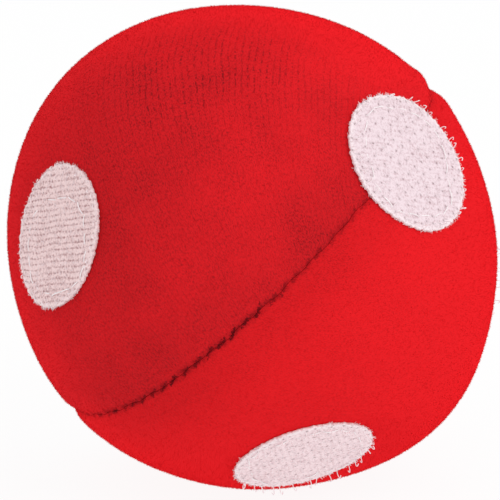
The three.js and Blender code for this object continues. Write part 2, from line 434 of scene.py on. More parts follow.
def ring_faces(rings: int, sides: int, turned_over: bool) -> list[Array]:
    """Faces of a closed form of rings with one point before the first and one after the last.

    Args:
        rings: how many rings there are.
        sides: the points in each ring.
        turned_over: whether the faces run the other way.

    Returns:
        The quads between the rings and the triangles at both ends.
    """
    at = 1 + np.arange(rings * sides).reshape(rings, sides)
    beside = np.roll(at, -1, axis=1)
    quads = np.stack([at[:-1], beside[:-1], beside[1:], at[1:]], axis=-1).reshape(-1, 4)
    first = np.stack([np.zeros(sides, int), beside[0], at[0]], axis=-1)
    last = np.stack([np.full(sides, rings * sides + 1), at[-1], beside[-1]], axis=-1)
    faces = [quads, np.concatenate([first, last])]
    return [f[:, ::-1] for f in faces] if turned_over else faces


def polar(radius: Any, angle: Array) -> Array:
    """Places on a plane from their distances and angles."""
    return np.stack([radius * np.cos(angle), radius * np.sin(angle)], axis=-1)


def direction(latitude: Any, longitude: Any) -> Array:
    """Unit directions in the ball's own frame from angles in radians."""
    flat = np.cos(latitude)
    height = np.sin(latitude) + 0 * longitude
    return np.stack([flat * np.cos(longitude), flat * np.sin(longitude), height], axis=-1)


def angles(towards: Array) -> tuple[Array, Array]:
    """The latitude and the longitude of unit directions, in radians."""
    latitude = np.arcsin(np.clip(towards[..., 2], -1, 1))
    return latitude, np.arctan2(towards[..., 1], towards[..., 0])


def all_round(count: int) -> Array:
    """Angles in even steps once round, in radians."""
    return np.linspace(0, TURN, count, endpoint=False)


def short_way(angle: Array, middle: float, full: float) -> Array:
    """The way from a middle to each angle, the shorter way round a full turn."""
    return (angle - middle + full / 2) % full - full / 2


def waves(places: Array, length: float, count: int, seed: int) -> Array:
    """Smooth unevenness from a few crossing waves.

    Args:
        places: one row a point.
        length: the waves' length.
        count: how many waves there are.
        seed: what their directions are drawn from.

    Returns:
        A height of about -1 to 1 for each point.
    """
    draw = np.random.default_rng(seed)
    turns = draw.normal(size=(count, 3))
    turns *= (TURN / length) / np.linalg.norm(turns, axis=1, keepdims=True)
    turns *= draw.uniform(0.6, 1.4, (count, 1))
    phases = draw.uniform(0, TURN, count)
    return np.sin(places @ turns.T + phases).sum(axis=-1) / math.sqrt(count)


@dataclass(frozen=True)
class Seat:
    """Where a coin is sewn on, in degrees from the seam and round it, how its rows turn, its size
    and the share and turn of its oval, whether its hooks are worn down to the weave, and half the
    sides and the shift of its sewn ring."""

    name: str
    latitude: float
    longitude: float
    spin: float
    seed: int
    size: float = 1.0
    oval: float = 0.0
    oval_turn: float = 0.0
    worn: bool = False
    ring_half: Span = (9.2 * MM, 8.7 * MM)
    ring_shift: float = 0.0

    def axis(self) -> Array:
        """The direction that the coin faces."""
        return direction(math.radians(self.latitude), math.radians(self.longitude))

    def frame(self, height: float) -> Matrix:
        """The coin's own frame in the ball's: rows along X and hooks along Z, at a height."""
        out = Vector(self.axis())
        round_ = math.radians(self.longitude)
        east = Vector((-math.sin(round_), math.cos(round_), 0))
        rows = Matrix.Rotation(math.radians(self.spin), 3, out) @ east
        across = out.cross(rows)
        frame = Matrix((rows, across, out)).transposed().to_4x4()
        frame.translation = out * height
        return frame


SEATS = (
    Seat("right", -3, -33.2, 47, 11, 1.004, 0.038, 82),
    Seat("left", 43.9, -131.2, 75, 12, 0.957, 0.055, 130, True, (7.4 * MM, 8.2 * MM), -1.7 * MM),
    Seat("low", -44.9, -118.1, -40, 13, 0.945, 0.04, 23),
    Seat("edge", -57.7, 19, 60, 14),
    Seat("back", 2, 146, 0, 15),
    Seat("top", 36, 72, 45, 16),
)


@dataclass(frozen=True)
class Lump:
    """A rise or a dent of the filling, at degrees from the seam and round it; the higher its power,
    the narrower it is."""

    latitude: float
    longitude: float
    rise: float
    power: float

    def height(self, towards: Array) -> Array:
        """How far it lifts the skin along unit directions."""
        middle = direction(math.radians(self.latitude), math.radians(self.longitude))
        return self.rise * np.clip(towards @ middle, 0, 1) ** self.power


LUMPS = (
    Lump(82, 109, 2.46 * MM, 4),
    Lump(-74, -53, 3.08 * MM, 5),
    Lump(-9, -165, 0.69 * MM, 21),
    Lump(47, 17, -0.79 * MM, 13),
    Lump(-33, -159, -0.38 * MM, 8),
    Lump(-21, 2, -0.54 * MM, 33),
    Lump(-7, 5, 0.39 * MM, 10),
    Lump(-59, -15, 0.57 * MM, 28),
    Lump(-52, 180, 0.45 * MM, 30),
)


@dataclass(frozen=True)
class Crease:
    """A fold or a ridge that runs along the seam, at degrees from the seam and round it, with its
    width and length in degrees."""

    latitude: float
    longitude: float
    rise: float
    width: float
    length: float

    def height(self, towards: Array) -> Array:
        """How far it lifts the skin along unit directions."""
        latitude, longitude = np.degrees(angles(towards))
        across = (latitude - self.latitude) / self.width
        along = short_way(longitude, self.longitude, 360) / self.length
        return self.rise * np.exp(-(across**2) - along**2)


CREASES = (
    Crease(0, 7, -0.5 * MM, 1.9, 14),
    Crease(4, 7, 0.3 * MM, 2.0, 14),
    Crease(-5, 7, 0.25 * MM, 3.3, 14),
    Crease(0.3, -166.5, -0.45 * MM, 1.7, 14),
    Crease(-4, -166.5, 0.13 * MM, 4.0, 14),
)


@dataclass(frozen=True)
class Bow:
    """A stretch of the seam that is drawn to the upper side, about a longitude, in degrees."""

    longitude: float
    rise: float
    width: float

    def height(self, longitude: Array) -> Array:
        """How far the seam is drawn at each longitude."""
        away = short_way(np.degrees(longitude), self.longitude, 360)
        return self.rise * np.exp(-((away / self.width) ** 2))


BOWS = (
    Bow(-107, -1.0 * MM, 48),
    Bow(-172, 1.1 * MM, 20),
    Bow(8, -0.6 * MM, 16),
    Bow(-99, 0.34 * MM, 14),
    Bow(-65, 0.2 * MM, 9),
)


@dataclass(frozen=True)
class BallForm:
    """The stuffed ball's outer form, as the frame has it, with the unevenness of its filling."""

    seam_radius: float = 39.5 * MM
    crown_rise: float = 2.5 * MM
    crown_power: int = 6
    nap_stand: float = 0.25 * MM
    rest_latitude: float = math.radians(52)
    rest_depth: float = 0.5 * MM
    coin_radius: float = 11.8 * MM
    tape_thickness: float = 0.6 * MM
    seat_rounding: float = 0.9 * MM
    least_facing: float = 0.8
    lump_height: float = 0.12 * MM
    lump_length: float = 26 * MM
    lump_waves: int = 9
    lump_seed: int = 5
    stitches: int = 92
    seam_start: float = math.radians(146)
    seam_wander: float = 0.12 * MM
    wander_stitches: float = 2.4
    wander_waves: int = 8
    wander_seed: int = 31
    slack: float = 0.36 * MM
    bows: tuple[Bow, ...] = BOWS
    lumps: tuple[Lump, ...] = LUMPS
    creases: tuple[Crease, ...] = CREASES
    seats: tuple[Seat, ...] = SEATS
    swell: Callable[[Array], Array] | None = None

    @property
    def face_height(self) -> float:
        """How far the face of a coin on the seam is from the ball's centre."""
        return math.sqrt(self.seam_radius**2 - self.coin_radius**2)

    def seat_height(self, seat: Seat) -> float:
        """How far a coin's face is from the ball's centre, lifted by the crown as in the frame."""
        steep = abs(math.sin(math.radians(seat.latitude)))
        return self.face_height + self.crown_rise * steep**self.crown_power

    def placing(self) -> Matrix:
        """The ball's own frame in the row frame: leaning, and standing on its pressed flat."""
        latitude, power = self.rest_latitude, self.crown_power
        radius = self.seam_radius + self.crown_rise * math.sin(latitude) ** power
        slope = self.crown_rise * power * math.sin(latitude) ** (power - 1) * math.cos(latitude)
        lean = math.pi / 2 - latitude + math.atan(slope / radius)
        turn = Matrix.Rotation(-lean, 4, "Y")
        foot = turn @ Vector((-radius * math.cos(latitude), 0, -radius * math.sin(latitude)))
        return Matrix.Translation((-foot.x, 0, -foot.z - self.rest_depth)) @ turn

    def skin(self, towards: Array) -> Array:
        """The radius of the fabric's face.

        Args:
            towards: one row a unit direction.

        Returns:
            The radius along each direction.
        """
        radius = np.full(towards.shape[:-1], self.seam_radius - self.nap_stand)
        for lump in self.lumps:
            radius += lump.height(towards)
        places = towards * self.seam_radius
        uneven = waves(places, self.lump_length, self.lump_waves, self.lump_seed)
        radius += self.lump_height * uneven
        radius -= self.slack
        if self.swell:
            radius += self.swell(towards)
            for crease in self.creases:
                radius += crease.height(towards)
        for seat in self.seats:
            facing = np.clip(towards @ seat.axis(), self.least_facing, 1)
            flat = (self.seat_height(seat) - self.tape_thickness) / facing
            near = np.clip(1 - np.abs(radius - flat) / self.seat_rounding, 0, 1)
            radius = np.minimum(radius, flat) - near**2 * self.seat_rounding / 4
        return radius

    @property
    def stitch_length(self) -> float:
        """The length of one stitch of the seam."""
        return TURN * self.seam_radius / self.stitches

    def stitch_turn(self, longitude: Array) -> Array:
        """The stitches from the seam's start to each longitude, a whole number at every hole."""
        return self.stitches * (longitude - self.seam_start) / TURN

    def wander(self, longitude: Array) -> Array:
        """How far the seam strays to the upper side at each longitude."""
        places = direction(0.0, longitude) * self.seam_radius
        length = self.wander_stitches * self.stitch_length
        stray = waves(places, length, self.wander_waves, self.wander_seed)
        zigzag = np.sin(math.pi * self.stitch_turn(longitude))
        return self.seam_wander * (stray + zigzag)

    def bow(self, longitude: Array) -> Array:
        """How far the whole seam is drawn to the upper side at each longitude."""
        return sum(bow.height(longitude) for bow in self.bows)

    def under_coin(self, towards: Array, margin: float) -> Array:
        """Which directions a coin covers.

        Args:
            towards: one row a unit direction.
            margin: what is left out inside the coins' edges.

        Returns:
            Whether each direction is covered.
        """
        reach = math.atan((self.coin_radius - margin) / self.face_height)
        hidden = np.zeros(towards.shape[:-1], bool)
        for seat in self.seats:
            hidden |= towards @ seat.axis() > math.cos(reach)
        return hidden


@dataclass(frozen=True)
class Patch:
    """A ragged patch of a fabric: full about its middle, fading out between two distances, and
    squeezed by a shape along the axes."""

    middle: tuple[float, float, float]
    reach: Span
    depth: float = 1.0
    shape: tuple[float, float, float] = (1.0, 1.0, 1.0)
    rag_size: float = 9 * MM
    rag_share: float = 0.5

    def drawn(self, sheet: FinishSheet) -> Value:
        """How strong it is at each place, from 0 to its depth."""
        away = sheet.place
        for operation, by in (("SUBTRACT", self.middle), ("MULTIPLY", self.shape)):
            away = sheet.value("ShaderNodeVectorMath", {0: away, 1: by}, operation=operation)
        far = sheet.value("ShaderNodeVectorMath", {0: away}, "Value", operation="LENGTH")
        ragged = far + sheet.uneven(self.rag_size, self.reach[1] * self.rag_share)
        return (1 - ragged.ramped(*self.reach)) * self.depth


@dataclass(frozen=True)
class LoopFabric:
    """Brushed loop knit: red, with columns of small dark gaps where it is stretched open, a speckle
    of loops, a painted sheen that brightens it at glancing angles, painted shade in patches and in
    a band along the seam, and painted shade of the seam's groove and needle holes in dark ragged
    clumps at its stitches.

    A span is where something starts to fade and where it is gone. The seam's painted shade is
    strongest about a stitch, in full to a first distance in stitches and fainter from a second one.
    """

    name: str
    half: Half
    colour: Colour
    deep: Colour
    # the brighter red of the painted sheen
    painted_sheen: Colour
    wale_turn: float
    wale_strength: float
    # patches of painted shade
    worn: tuple[Patch, ...]
    opened: Patch
    # how dark the painted shade is in a band along the seam
    band: float
    nick_length: float
    stitch_length: float
    # the near-black red of the painted shade in the seam's groove and needle holes
    seam: Colour = (0.05, 0.004, 0.006, 1)
    speckle: float = 0.42
    seam_shade_span: tuple[float, float, float] = (25.2, 5.8, 10.5)
    band_reach: Span = (1 * MM, 12 * MM)
    wale_pitch: float = 1.05 * MM
    wale_width: float = 0.22 * MM
    wale_strays: tuple[Span, ...] = ((9 * MM, 1.6), (1.6 * MM, 0.4))
    tick_size: float = 0.6 * MM
    tick_squeeze: float = 0.9
    loop_size: float = 0.19 * MM
    loop_squeeze: float = 0.4
    gather_size: float = 5 * MM
    cloud_size: float = 16 * MM
    cloud_swing: float = 0.2
    relief: float = 0.08 * MM
    slant: float = 0.34
    nick_slant: float = 0.7
    stitch_stray: float = 0.4
    rough_size: float = 0.3 * MM
    rough_swing: float = 2.4 * MM
    thick_size: float = 0.9 * MM
    clump_width: Span = (0.15 * MM, 0.42 * MM)
    clump_length: Span = (0.8 * MM, 1.4 * MM)
    nick_width: Span = (0.06 * MM, 0.26 * MM)
    shade_reach: Span = (0.15 * MM, 1.1 * MM)
    painted_sheen_facing: Span = (0.25, 0.9)

    def _seam_shade(self, sheet: FinishSheet) -> Value:
        """Painted shade along the sewn edge, for the shade in the seam's groove and needle holes: a
        ragged slanting clump at every stitch, short nicks, and a soft shade between them, all
        fainter away from the middle of the seam's shaded span."""
        reach = sheet.attribute("seam_reach")
        turn = sheet.attribute("stitch_turn")
        hole = turn.rounded()
        luck = sheet.luck(hole)
        rough = sheet.uneven(self.rough_size, self.rough_swing)
        thick = sheet.noise(self.thick_size).ramped(0.4, 0.62)
        along = (turn - hole + (luck - 0.5) * self.stitch_stray) * self.stitch_length
        drift = abs(reach * self.half.value - along * self.slant)
        clump = (1 - (drift + rough * 0.6).ramped(*self.clump_width)) * (0.75 + 0.25 * luck)
        clump = clump * (1 - (abs(along) + rough).ramped(*self.clump_length))
        beside = abs(along - reach * self.nick_slant + rough * 0.3)
        short = reach + luck * (0.6 * self.nick_length)
        nick = 1 - beside.ramped(*self.nick_width)
        nick = nick * (1 - short.ramped(0.5 * self.nick_length, self.nick_length)) * 0.5
        shade = (1 - (reach + rough * 0.4).ramped(*self.shade_reach)) * (0.22 + 0.4 * thick)
        middle, near, far = self.seam_shade_span
        fade = abs(turn - middle).ramped(near, far)
        soft = nick.over(shade) * (1 - fade * 0.55)
        return (clump * (1 - fade * 0.45)).over(soft)

    @staticmethod
    def _drawn(sheet: FinishSheet, squeeze: float, shift: Any = 0.0) -> Value:
        """Places on the flat fabric squeezed along its wales, so that noise is drawn out there."""
        return sheet.vector(sheet.attribute("across"), sheet.attribute("along") * squeeze, shift)

    def _wales(self, sheet: FinishSheet, opened: Value, dull: Value) -> Value:
        """The dark gaps between the wales: short ticks in columns.

        Args:
            sheet: the material's nodes.
            opened: how far the knit is stretched open, which shows the ticks most.
            dull: how much painted shade there is, which shows them a little.

        Returns:
            How dark the gaps are, from 0 to 1.
        """
        count = sheet.attribute("across") * (1 / self.wale_pitch)
        for size, swing in self.wale_strays:
            count = count + sheet.uneven(size, swing, 1.0)
        wale = count.rounded()
        luck = sheet.luck(wale)
        beside = abs(count - wale) * self.wale_pitch
        column = 1 - beside.ramped(0.2 * self.wale_width, self.wale_width)
        places = self._drawn(sheet, self.tick_squeeze, luck)
        tick = sheet.noise(self.tick_size, place=places).ramped(0.42, 0.6)
        shown = tick * (0.12 + 0.5 * dull + 0.72 * opened) + 0.06
        return column * shown * (0.7 + 0.5 * luck) * self.wale_strength

    def _painted_shade(self, sheet: FinishSheet) -> Value:
        """How much painted shade darkens it: in patches, and in a band along the seam."""
        dull = (1 - sheet.attribute("seam_reach").ramped(*self.band_reach)) * self.band
        for patch in self.worn:
            dull = dull + patch.drawn(sheet)
        return dull

    def made(self) -> Material:
        """The material."""
        sheet = FinishSheet(self.name)
        opened = self.opened.drawn(sheet)
        # painted shade: darker patches and a band along the seam
        dull = self._painted_shade(sheet)
        wales = self._wales(sheet, opened, dull)
        loops = sheet.noise(self.loop_size, place=self._drawn(sheet, self.loop_squeeze))
        gathered = sheet.noise(self.gather_size).ramped(0.36, 0.64)
        fleck = (1 - loops.ramped(0.34, 0.56)) * (0.75 + 0.4 * gathered) * (0.65 + 1.3 * dull)
        depth = wales + fleck * self.speckle + sheet.uneven(self.cloud_size, self.cloud_swing)
        depth = depth + opened * (0.12 * self.wale_strength) + dull
        # painted shade along the seam
        shade = self._seam_shade(sheet)
        colour = sheet.mixed(depth, self.colour, self.deep)
        colour = sheet.mixed(shade, colour, self.seam)
        sockets = {"Roughness": 0.95, "Sheen Weight": 0.5, **BRUSHED}
        ground = sheet.shader(colour, sockets, loops * 0.6 - wales * 0.4, self.relief)
        # Painted sheen: a brighter diffuse red mixed in at glancing angles, weaker over the painted
        # shade of the seam and the patches.
        glow = sheet.value("ShaderNodeBsdfDiffuse", {"Color": self.painted_sheen, "Roughness": 1.0})
        facing = sheet.value("ShaderNodeLayerWeight", {"Blend": 0.5}, "Facing")
        unshaded = (1 - dull * 2.0).over(0.0)
        share = facing.ramped(*self.painted_sheen_facing) * (1 - shade) * unshaded
        return sheet.finished(sheet.blended(share, ground, glow))


@dataclass(frozen=True)
class NapFinish:
    """The fine fibre ends of the loop fabric, darker at the root and each of its own tone."""

    name: str
    root: Colour
    tip: Colour = (1.0, 0.0220, 0.0300, 1)
    clear: float = 0.45

    def made(self) -> Material:
        """The material."""
        sheet = FinishSheet(self.name)
        along, tone = sheet.attribute("nap_along"), sheet.attribute("nap_tone")
        colour = sheet.mixed(along * 0.75 + tone * 0.25, self.root, self.tip)
        fibre = sheet.shader(colour, {"Roughness": 0.9, "Sheen Weight": 0.6, **BRUSHED})
        through = sheet.value("ShaderNodeBsdfTranslucent", {"Color": colour})
        return sheet.finished(sheet.blended(self.clear, fibre, through))


@dataclass(frozen=True)
class TapeFinish:
    """Woven nylon backing of the hook tape: off-white cords with the red showing in their gaps,
    darkened there as painted shade, and painted shade at the foot of each hook.
    """

    name: str
    cord: Colour
    gap: Colour
    pit: Colour
    frayed: Colour
    contrast: float
    pit_depth: float
    strands: float = 0.3
    middle_tone: float = 0.75
    fibre_size: float = 0.34 * MM
    fibre_swing: float = 1.8
    strand_size: float = 0.8 * MM
    strand_width: Span = (0.01, 0.06)
    cloud_size: float = 4 * MM
    cloud_swing: float = 0.6
    relief: float = 0.05 * MM

    def made(self) -> Material:
        """The material."""
        sheet = FinishSheet(self.name)
        fibre = sheet.noise(self.fibre_size, 3.0)
        strand = 1 - abs(sheet.uneven(self.strand_size, 1.0)).ramped(*self.strand_width)
        bright = sheet.attribute("weave") * self.contrast + (self.middle_tone - self.contrast)
        bright = bright + strand * self.strands + (fibre - 0.5) * self.fibre_swing
        bright = bright + sheet.uneven(self.cloud_size, self.cloud_swing)
        # the gaps' colour is the red below, darkened as painted shade
        colour = sheet.mixed(bright.ramped(0.0, 1.0), self.gap, self.cord)
        loose = sheet.attribute("rim") * (0.3 + 0.7 * fibre.ramped(0.35, 0.6))
        colour = sheet.mixed(loose, colour, self.frayed)
        # painted shade at the foot of each hook
        colour = sheet.mixed(sheet.attribute("pit") * self.pit_depth, colour, self.pit)
        sockets = {"Roughness": 0.7, "Specular IOR Level": 0.3, "Sheen Weight": 0.15}
        return sheet.finished(sheet.shader(colour, sockets, fibre, self.relief))


@dataclass(frozen=True)
class FilamentFinish:
    """Drawn nylon or polyester filament, with a little unevenness along it."""

    name: str
    colour: Colour
    dull: Colour
    roughness: float
    grain: float = 0.4 * MM
    gloss: float = 0.35
    relief: float = 0.03 * MM

    def made(self) -> Material:
        """The material."""
        sheet = FinishSheet(self.name)
        fibre = sheet.noise(self.grain)
        colour = sheet.mixed(fibre.ramped(0.3, 0.7), self.dull, self.colour)
        sockets = {"Roughness": self.roughness, "Specular IOR Level": self.gloss}
        return sheet.finished(sheet.shader(colour, sockets, fibre, self.relief))


@dataclass(frozen=True)
class SwellMap:
    """How far the cover stands out over its slack form, on a grid of latitudes and longitudes."""

    heights: Array

    def __call__(self, towards: Array) -> Array:
        """The height along each direction, between the grid's points."""
        rows, columns = self.heights.shape
        latitude, longitude = angles(towards)
        up = (latitude / math.pi + 0.5) * (rows - 1)
        round_ = (longitude / TURN % 1) * columns
        low = np.clip(up.astype(int), 0, rows - 2)
        left = round_.astype(int) % columns
        right = (left + 1) % columns
        rise, along = up - low, round_ - np.floor(round_)
        under = self.heights[low, left] * (1 - along) + self.heights[low, right] * along
        over = self.heights[low + 1, left] * (1 - along) + self.heights[low + 1, right] * along
        return under * (1 - rise) + over * rise


@dataclass(frozen=True)
class Stuffing:
    """The filling's push on the cover: cloth held along the seam and under the coins, and blown up.

    The cloth is simulated on an enlarged copy, because its settings suit things of about a metre.
    """

    form: BallForm
    enlarged: float = 25.0
    divisions: int = 6
    frames: int = 20
    pressure: float = 4.0
    tension: float = 4.0
    held_seam: float = 1.0 * MM
    held_coin: float = 0.3 * MM
    cap: float = 0.8 * MM
    grid: tuple[int, int] = (181, 360)

    def _cover(self) -> bpy.types.Object:
        """The slack cover as a ball of even triangles, with its held points in a group."""
        bpy.ops.mesh.primitive_ico_sphere_add(subdivisions=self.divisions, radius=1.0)
        cover = bpy.context.object
        towards = points_of(cover.data)
        towards = towards / np.linalg.norm(towards, axis=1)[:, None]
        move_points(cover.data, towards * (self.form.skin(towards) * self.enlarged)[:, None])
        held = self.form.under_coin(towards, -self.held_coin)
        held |= np.abs(towards[:, 2]) * self.form.seam_radius < self.held_seam
        group = cover.vertex_groups.new(name="held")
        group.add(np.flatnonzero(held).tolist(), 1.0, "REPLACE")
        return cover

    def swelled(self) -> SwellMap:
        """Runs the cloth and measures how far it has moved outwards."""
        cover = self._cover()
        cloth = cover.modifiers.new("cloth", "CLOTH")
        cloth.settings.vertex_group_mass = "held"
        cloth.settings.use_pressure = True
        cloth.settings.uniform_pressure_force = self.pressure
        cloth.settings.tension_stiffness = self.tension
        cloth.settings.compression_stiffness = self.tension
        cloth.settings.effector_weights.gravity = 0.0
        cloth.point_cache.frame_start = 1
        cloth.point_cache.frame_end = self.frames
        for frame in range(1, self.frames + 1):
            bpy.context.scene.frame_set(frame)
        tree = BVHTree.FromObject(cover, bpy.context.evaluated_depsgraph_get())
        latitude = np.linspace(-math.pi / 2, math.pi / 2, self.grid[0])
        towards = direction(*np.meshgrid(latitude, all_round(self.grid[1]), indexing="ij"))
        hits = [tree.ray_cast(Vector(), Vector(way))[3] for way in towards.reshape(-1, 3)]
        after = np.array(hits).reshape(self.grid) / self.enlarged
        bpy.data.objects.remove(cover)
        bpy.context.scene.frame_set(1)
        moved = np.clip(after - self.form.skin(towards), 0, self.cap)
        LOG.info("the cover swells by up to %.2f mm", moved.max() / MM)
        return SwellMap(moved)


def settle(mesh: Mesh, name: str, node: str) -> bpy.types.Object:
    """Puts a finished mesh into the scene.

    Args:
        mesh: the piece's mesh, in the row frame.
        name: the piece's name.
        node: the node of the frame that it stands for.

    Returns:
        The piece.
    """
    mesh.name = name
    piece = placed(name, mesh)
    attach(piece, BODY)
    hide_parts(node)
    LOG.info("%s stands for %s with %d faces", name, node, len(mesh.polygons))
    return piece


@dataclass
class CoverHalf:
    """One cup of the cover: loop fabric with its edge turned in along the seam, and its nap."""

    form: BallForm
    fabric: LoopFabric
    nap: NapFinish
    nap_seed: int
    sides: int = 736
    outer_rings: int = 100
    ring_growth: float = 1.6
    inner_rings: int = 10
    lip_steps: int = 8
    thickness: float = 1.2 * MM
    allowance: float = 5 * MM
    lip_radius: float = 0.13 * MM
    half_gap: float = 0.025 * MM
    pucker_depth: float = 0.16 * MM
    pucker_reach: float = 1.2 * MM
    pucker_power: int = 6
    wander_reach: float = 1.5 * MM
    bow_reach: float = 9 * MM
    coin_margin: float = 0.3 * MM
    floor_gap: float = 0.1 * MM
    bare_foot: float = 0.7 * MM
    lip_nap: float = 0.4
    nap_layers: int = 2
    nap_density: float = 4.4 / MM**2
    nap_length: float = 0.24 * MM
    nap_thickness: float = 0.06 * MM
    nap_lean: float = 0.65

    @property
    def name(self) -> str:
        """The node that the cup stands for."""
        return f"cover_half_{self.fabric.half.name.lower()}"

    def _rings(self) -> tuple[Array, dict[str, Array]]:
        """The cup's points from the pole of its lining, round its lip, to its outer pole.

        Returns:
            Points in rings with one at each end, and what each carries: how freely nap grows there,
            its distance from the seam, the stitches round the seam to it, and its place across and
            along the wales of the fabric as if it were laid flat.
        """
        form, side = self.form, self.fabric.half.value
        longitude = form.seam_start + all_round(self.sides)
        turn = form.stitch_turn(longitude)
        pucker = self.pucker_depth * np.cos(math.pi * turn) ** self.pucker_power
        wander, bow = side * form.wander(longitude), side * form.bow(longitude)
        rows: list[Array] = []
        nap: list[Array] = []
        reach: list[Array] = []

        def keep(radius: Any, height: Any, growth: Any, away: float) -> None:
            """Adds one ring at a radius and a height over the seam, mirrored for the lower cup."""
            near = max(away, 0.0)
            tall = height + wander * math.exp(-near / self.wander_reach)
            tall = tall + bow * math.exp(-near / self.bow_reach)
            rows.append(np.column_stack([polar(radius, longitude), side * tall]))
            nap.append(np.broadcast_to(growth, self.sides))
            reach.append(np.full(self.sides, away))

        def skin(latitude: float) -> Array:
            """The fabric's face along one latitude."""
            return form.skin(direction(side * latitude, longitude))

        fold = math.asin((self.half_gap + self.thickness) / (form.seam_radius - self.thickness))
        for latitude in np.linspace(math.pi / 2, fold, self.inner_rings + 1)[1:]:
            inner = skin(latitude) - self.thickness
            away = (latitude - fold) * form.seam_radius
            keep(inner * math.cos(latitude), inner * math.sin(latitude), 0, away)
        lip = self.half_gap + self.lip_radius
        lip_end = math.asin(lip / (form.seam_radius - self.lip_radius))
        edge = skin(lip_end) - pucker
        for height in (self.half_gap + self.thickness, self.half_gap):
            keep(edge - self.allowance, height, 0, 0)
        middle = edge - self.lip_radius
        for angle in np.linspace(-math.pi / 2, lip_end, self.lip_steps, endpoint=False):
            radius = middle * math.cos(lip_end) + self.lip_radius * math.cos(angle)
            height = middle * math.sin(lip_end) + self.lip_radius * math.sin(angle)
            away = self.half_gap + self.lip_radius * (1 + math.sin(angle))
            keep(radius, height, self.lip_nap, away)
        steps = np.linspace(0, 1, self.outer_rings, endpoint=False)
        climbs = (np.exp(self.ring_growth * steps) - 1) / (math.exp(self.ring_growth) - 1)
        for latitude in lip_end + climbs * (math.pi / 2 - lip_end):
            away = (latitude - lip_end) * form.seam_radius
            radius = skin(latitude) - pucker * math.exp(-away / self.pucker_reach)
            hidden = form.under_coin(direction(side * latitude, longitude), self.coin_margin)
            growth = np.where(hidden, 0.0, 1.0)
            keep(radius * math.cos(latitude), radius * math.sin(latitude), growth, away + lip)
        pole = form.skin(direction(side * math.pi / 2, np.zeros(1)))[0]
        under = np.array([[0, 0, side * (pole - self.thickness)]])
        points = np.concatenate([under, *rows, [[0, 0, side * pole]]])
        towards = points / np.linalg.norm(points, axis=1, keepdims=True)
        fallen = np.arccos(np.clip(side * towards[:, 2], -1, 1)) * form.seam_radius
        flat = polar(fallen, angles(towards)[1] - self.fabric.wale_turn)
        return points, {
            "across": flat[:, 0],
            "along": flat[:, 1],
            "nap": np.concatenate([[0], *nap, [1]]),
            "seam_reach": np.concatenate([[1], *reach, [1]]),
            "stitch_turn": np.concatenate([[0], np.tile(turn, len(rows)), [0]]),
        }

    def _shell(self) -> Mesh:
        """The cup's fabric as one closed mesh in the row frame, pressed flat where it stands."""
        points, carried = self._rings()
        rings = (len(points) - 2) // self.sides
        faces = ring_faces(rings, self.sides, self.fabric.half is Half.LOWER)
        mesh = mesh_of(self.name, points, *faces)
        mesh.transform(self.form.placing())
        stood = points_of(mesh)
        carried["nap"] = carried["nap"] * (stood[:, 2] > self.bare_foot)
        stood[:, 2] = np.maximum(stood[:, 2], self.floor_gap)
        move_points(mesh, stood)
        carry(mesh, **carried)
        return mesh

    @staticmethod
    def nap_sheet() -> FormSheet:
        """A tree that plants fine fibre ends all over a fabric's face."""
        sheet = FormSheet("loop_nap", "Density", "Length", "Thickness", "Lean")
        face = {
            "Mesh": sheet.size("Geometry"),
            "Density": sheet.size("Density") * sheet.attribute("nap"),
            "Seed": sheet.seed,
        }
        kind = "GeometryNodeDistributePointsOnFaces"
        spread = sheet.add(kind, face, distribute_method="RANDOM")
        points = sheet.kept(sheet.out(spread, "Points"), "nap_tone", sheet.chance(0.0, 1.0, 1))
        length, lean = sheet.size("Length"), sheet.size("Lean")
        cone = {
            "Vertices": 3,
            "Side Segments": 1,
            "Fill Segments": 1,
            "Radius Top": 0.0,
            "Radius Bottom": sheet.size("Thickness") * 0.5,
            "Depth": length,
        }
        spike = sheet.value("GeometryNodeMeshCone", cone, "Mesh", fill_type="NGON")
        place = sheet.value("GeometryNodeInputPosition")
        height = sheet.value("ShaderNodeSeparateXYZ", {0: place}, "Z")
        fibre = sheet.kept(spike, "nap_along", sheet.maths("DIVIDE", height, length))
        facing = sheet.turned(
            sheet.chance(-lean, lean, 2),
            sheet.chance(-lean, lean, 3),
            sheet.chance(0.0, TURN, 4),
            sheet.out(spread, "Rotation"),
        )
        return sheet.planted(points, fibre, facing, sheet.chance(0.55, 1.25, 5))

    def build(self, nap_sheet: FormSheet) -> None:
        """Builds the cup and the layers of its nap.

        Args:
            nap_sheet: the tree that plants the nap.
        """
        shell = self._shell()
        nap_material = self.nap.made()
        for layer in range(self.nap_layers):
            sizes = {
                "Density": self.nap_density,
                "Length": self.nap_length,
                "Thickness": self.nap_thickness,
                "Lean": self.nap_lean,
                "Seed": 100 * layer + self.nap_seed,
            }
            mesh = nap_sheet.applied(shell, nap_material, sizes)
            settle(mesh, f"{self.name}_nap_{layer + 1}", self.name)
        shell.materials.append(self.fabric.made())
        cup = settle(shell, f"{self.name}_fabric", self.name)


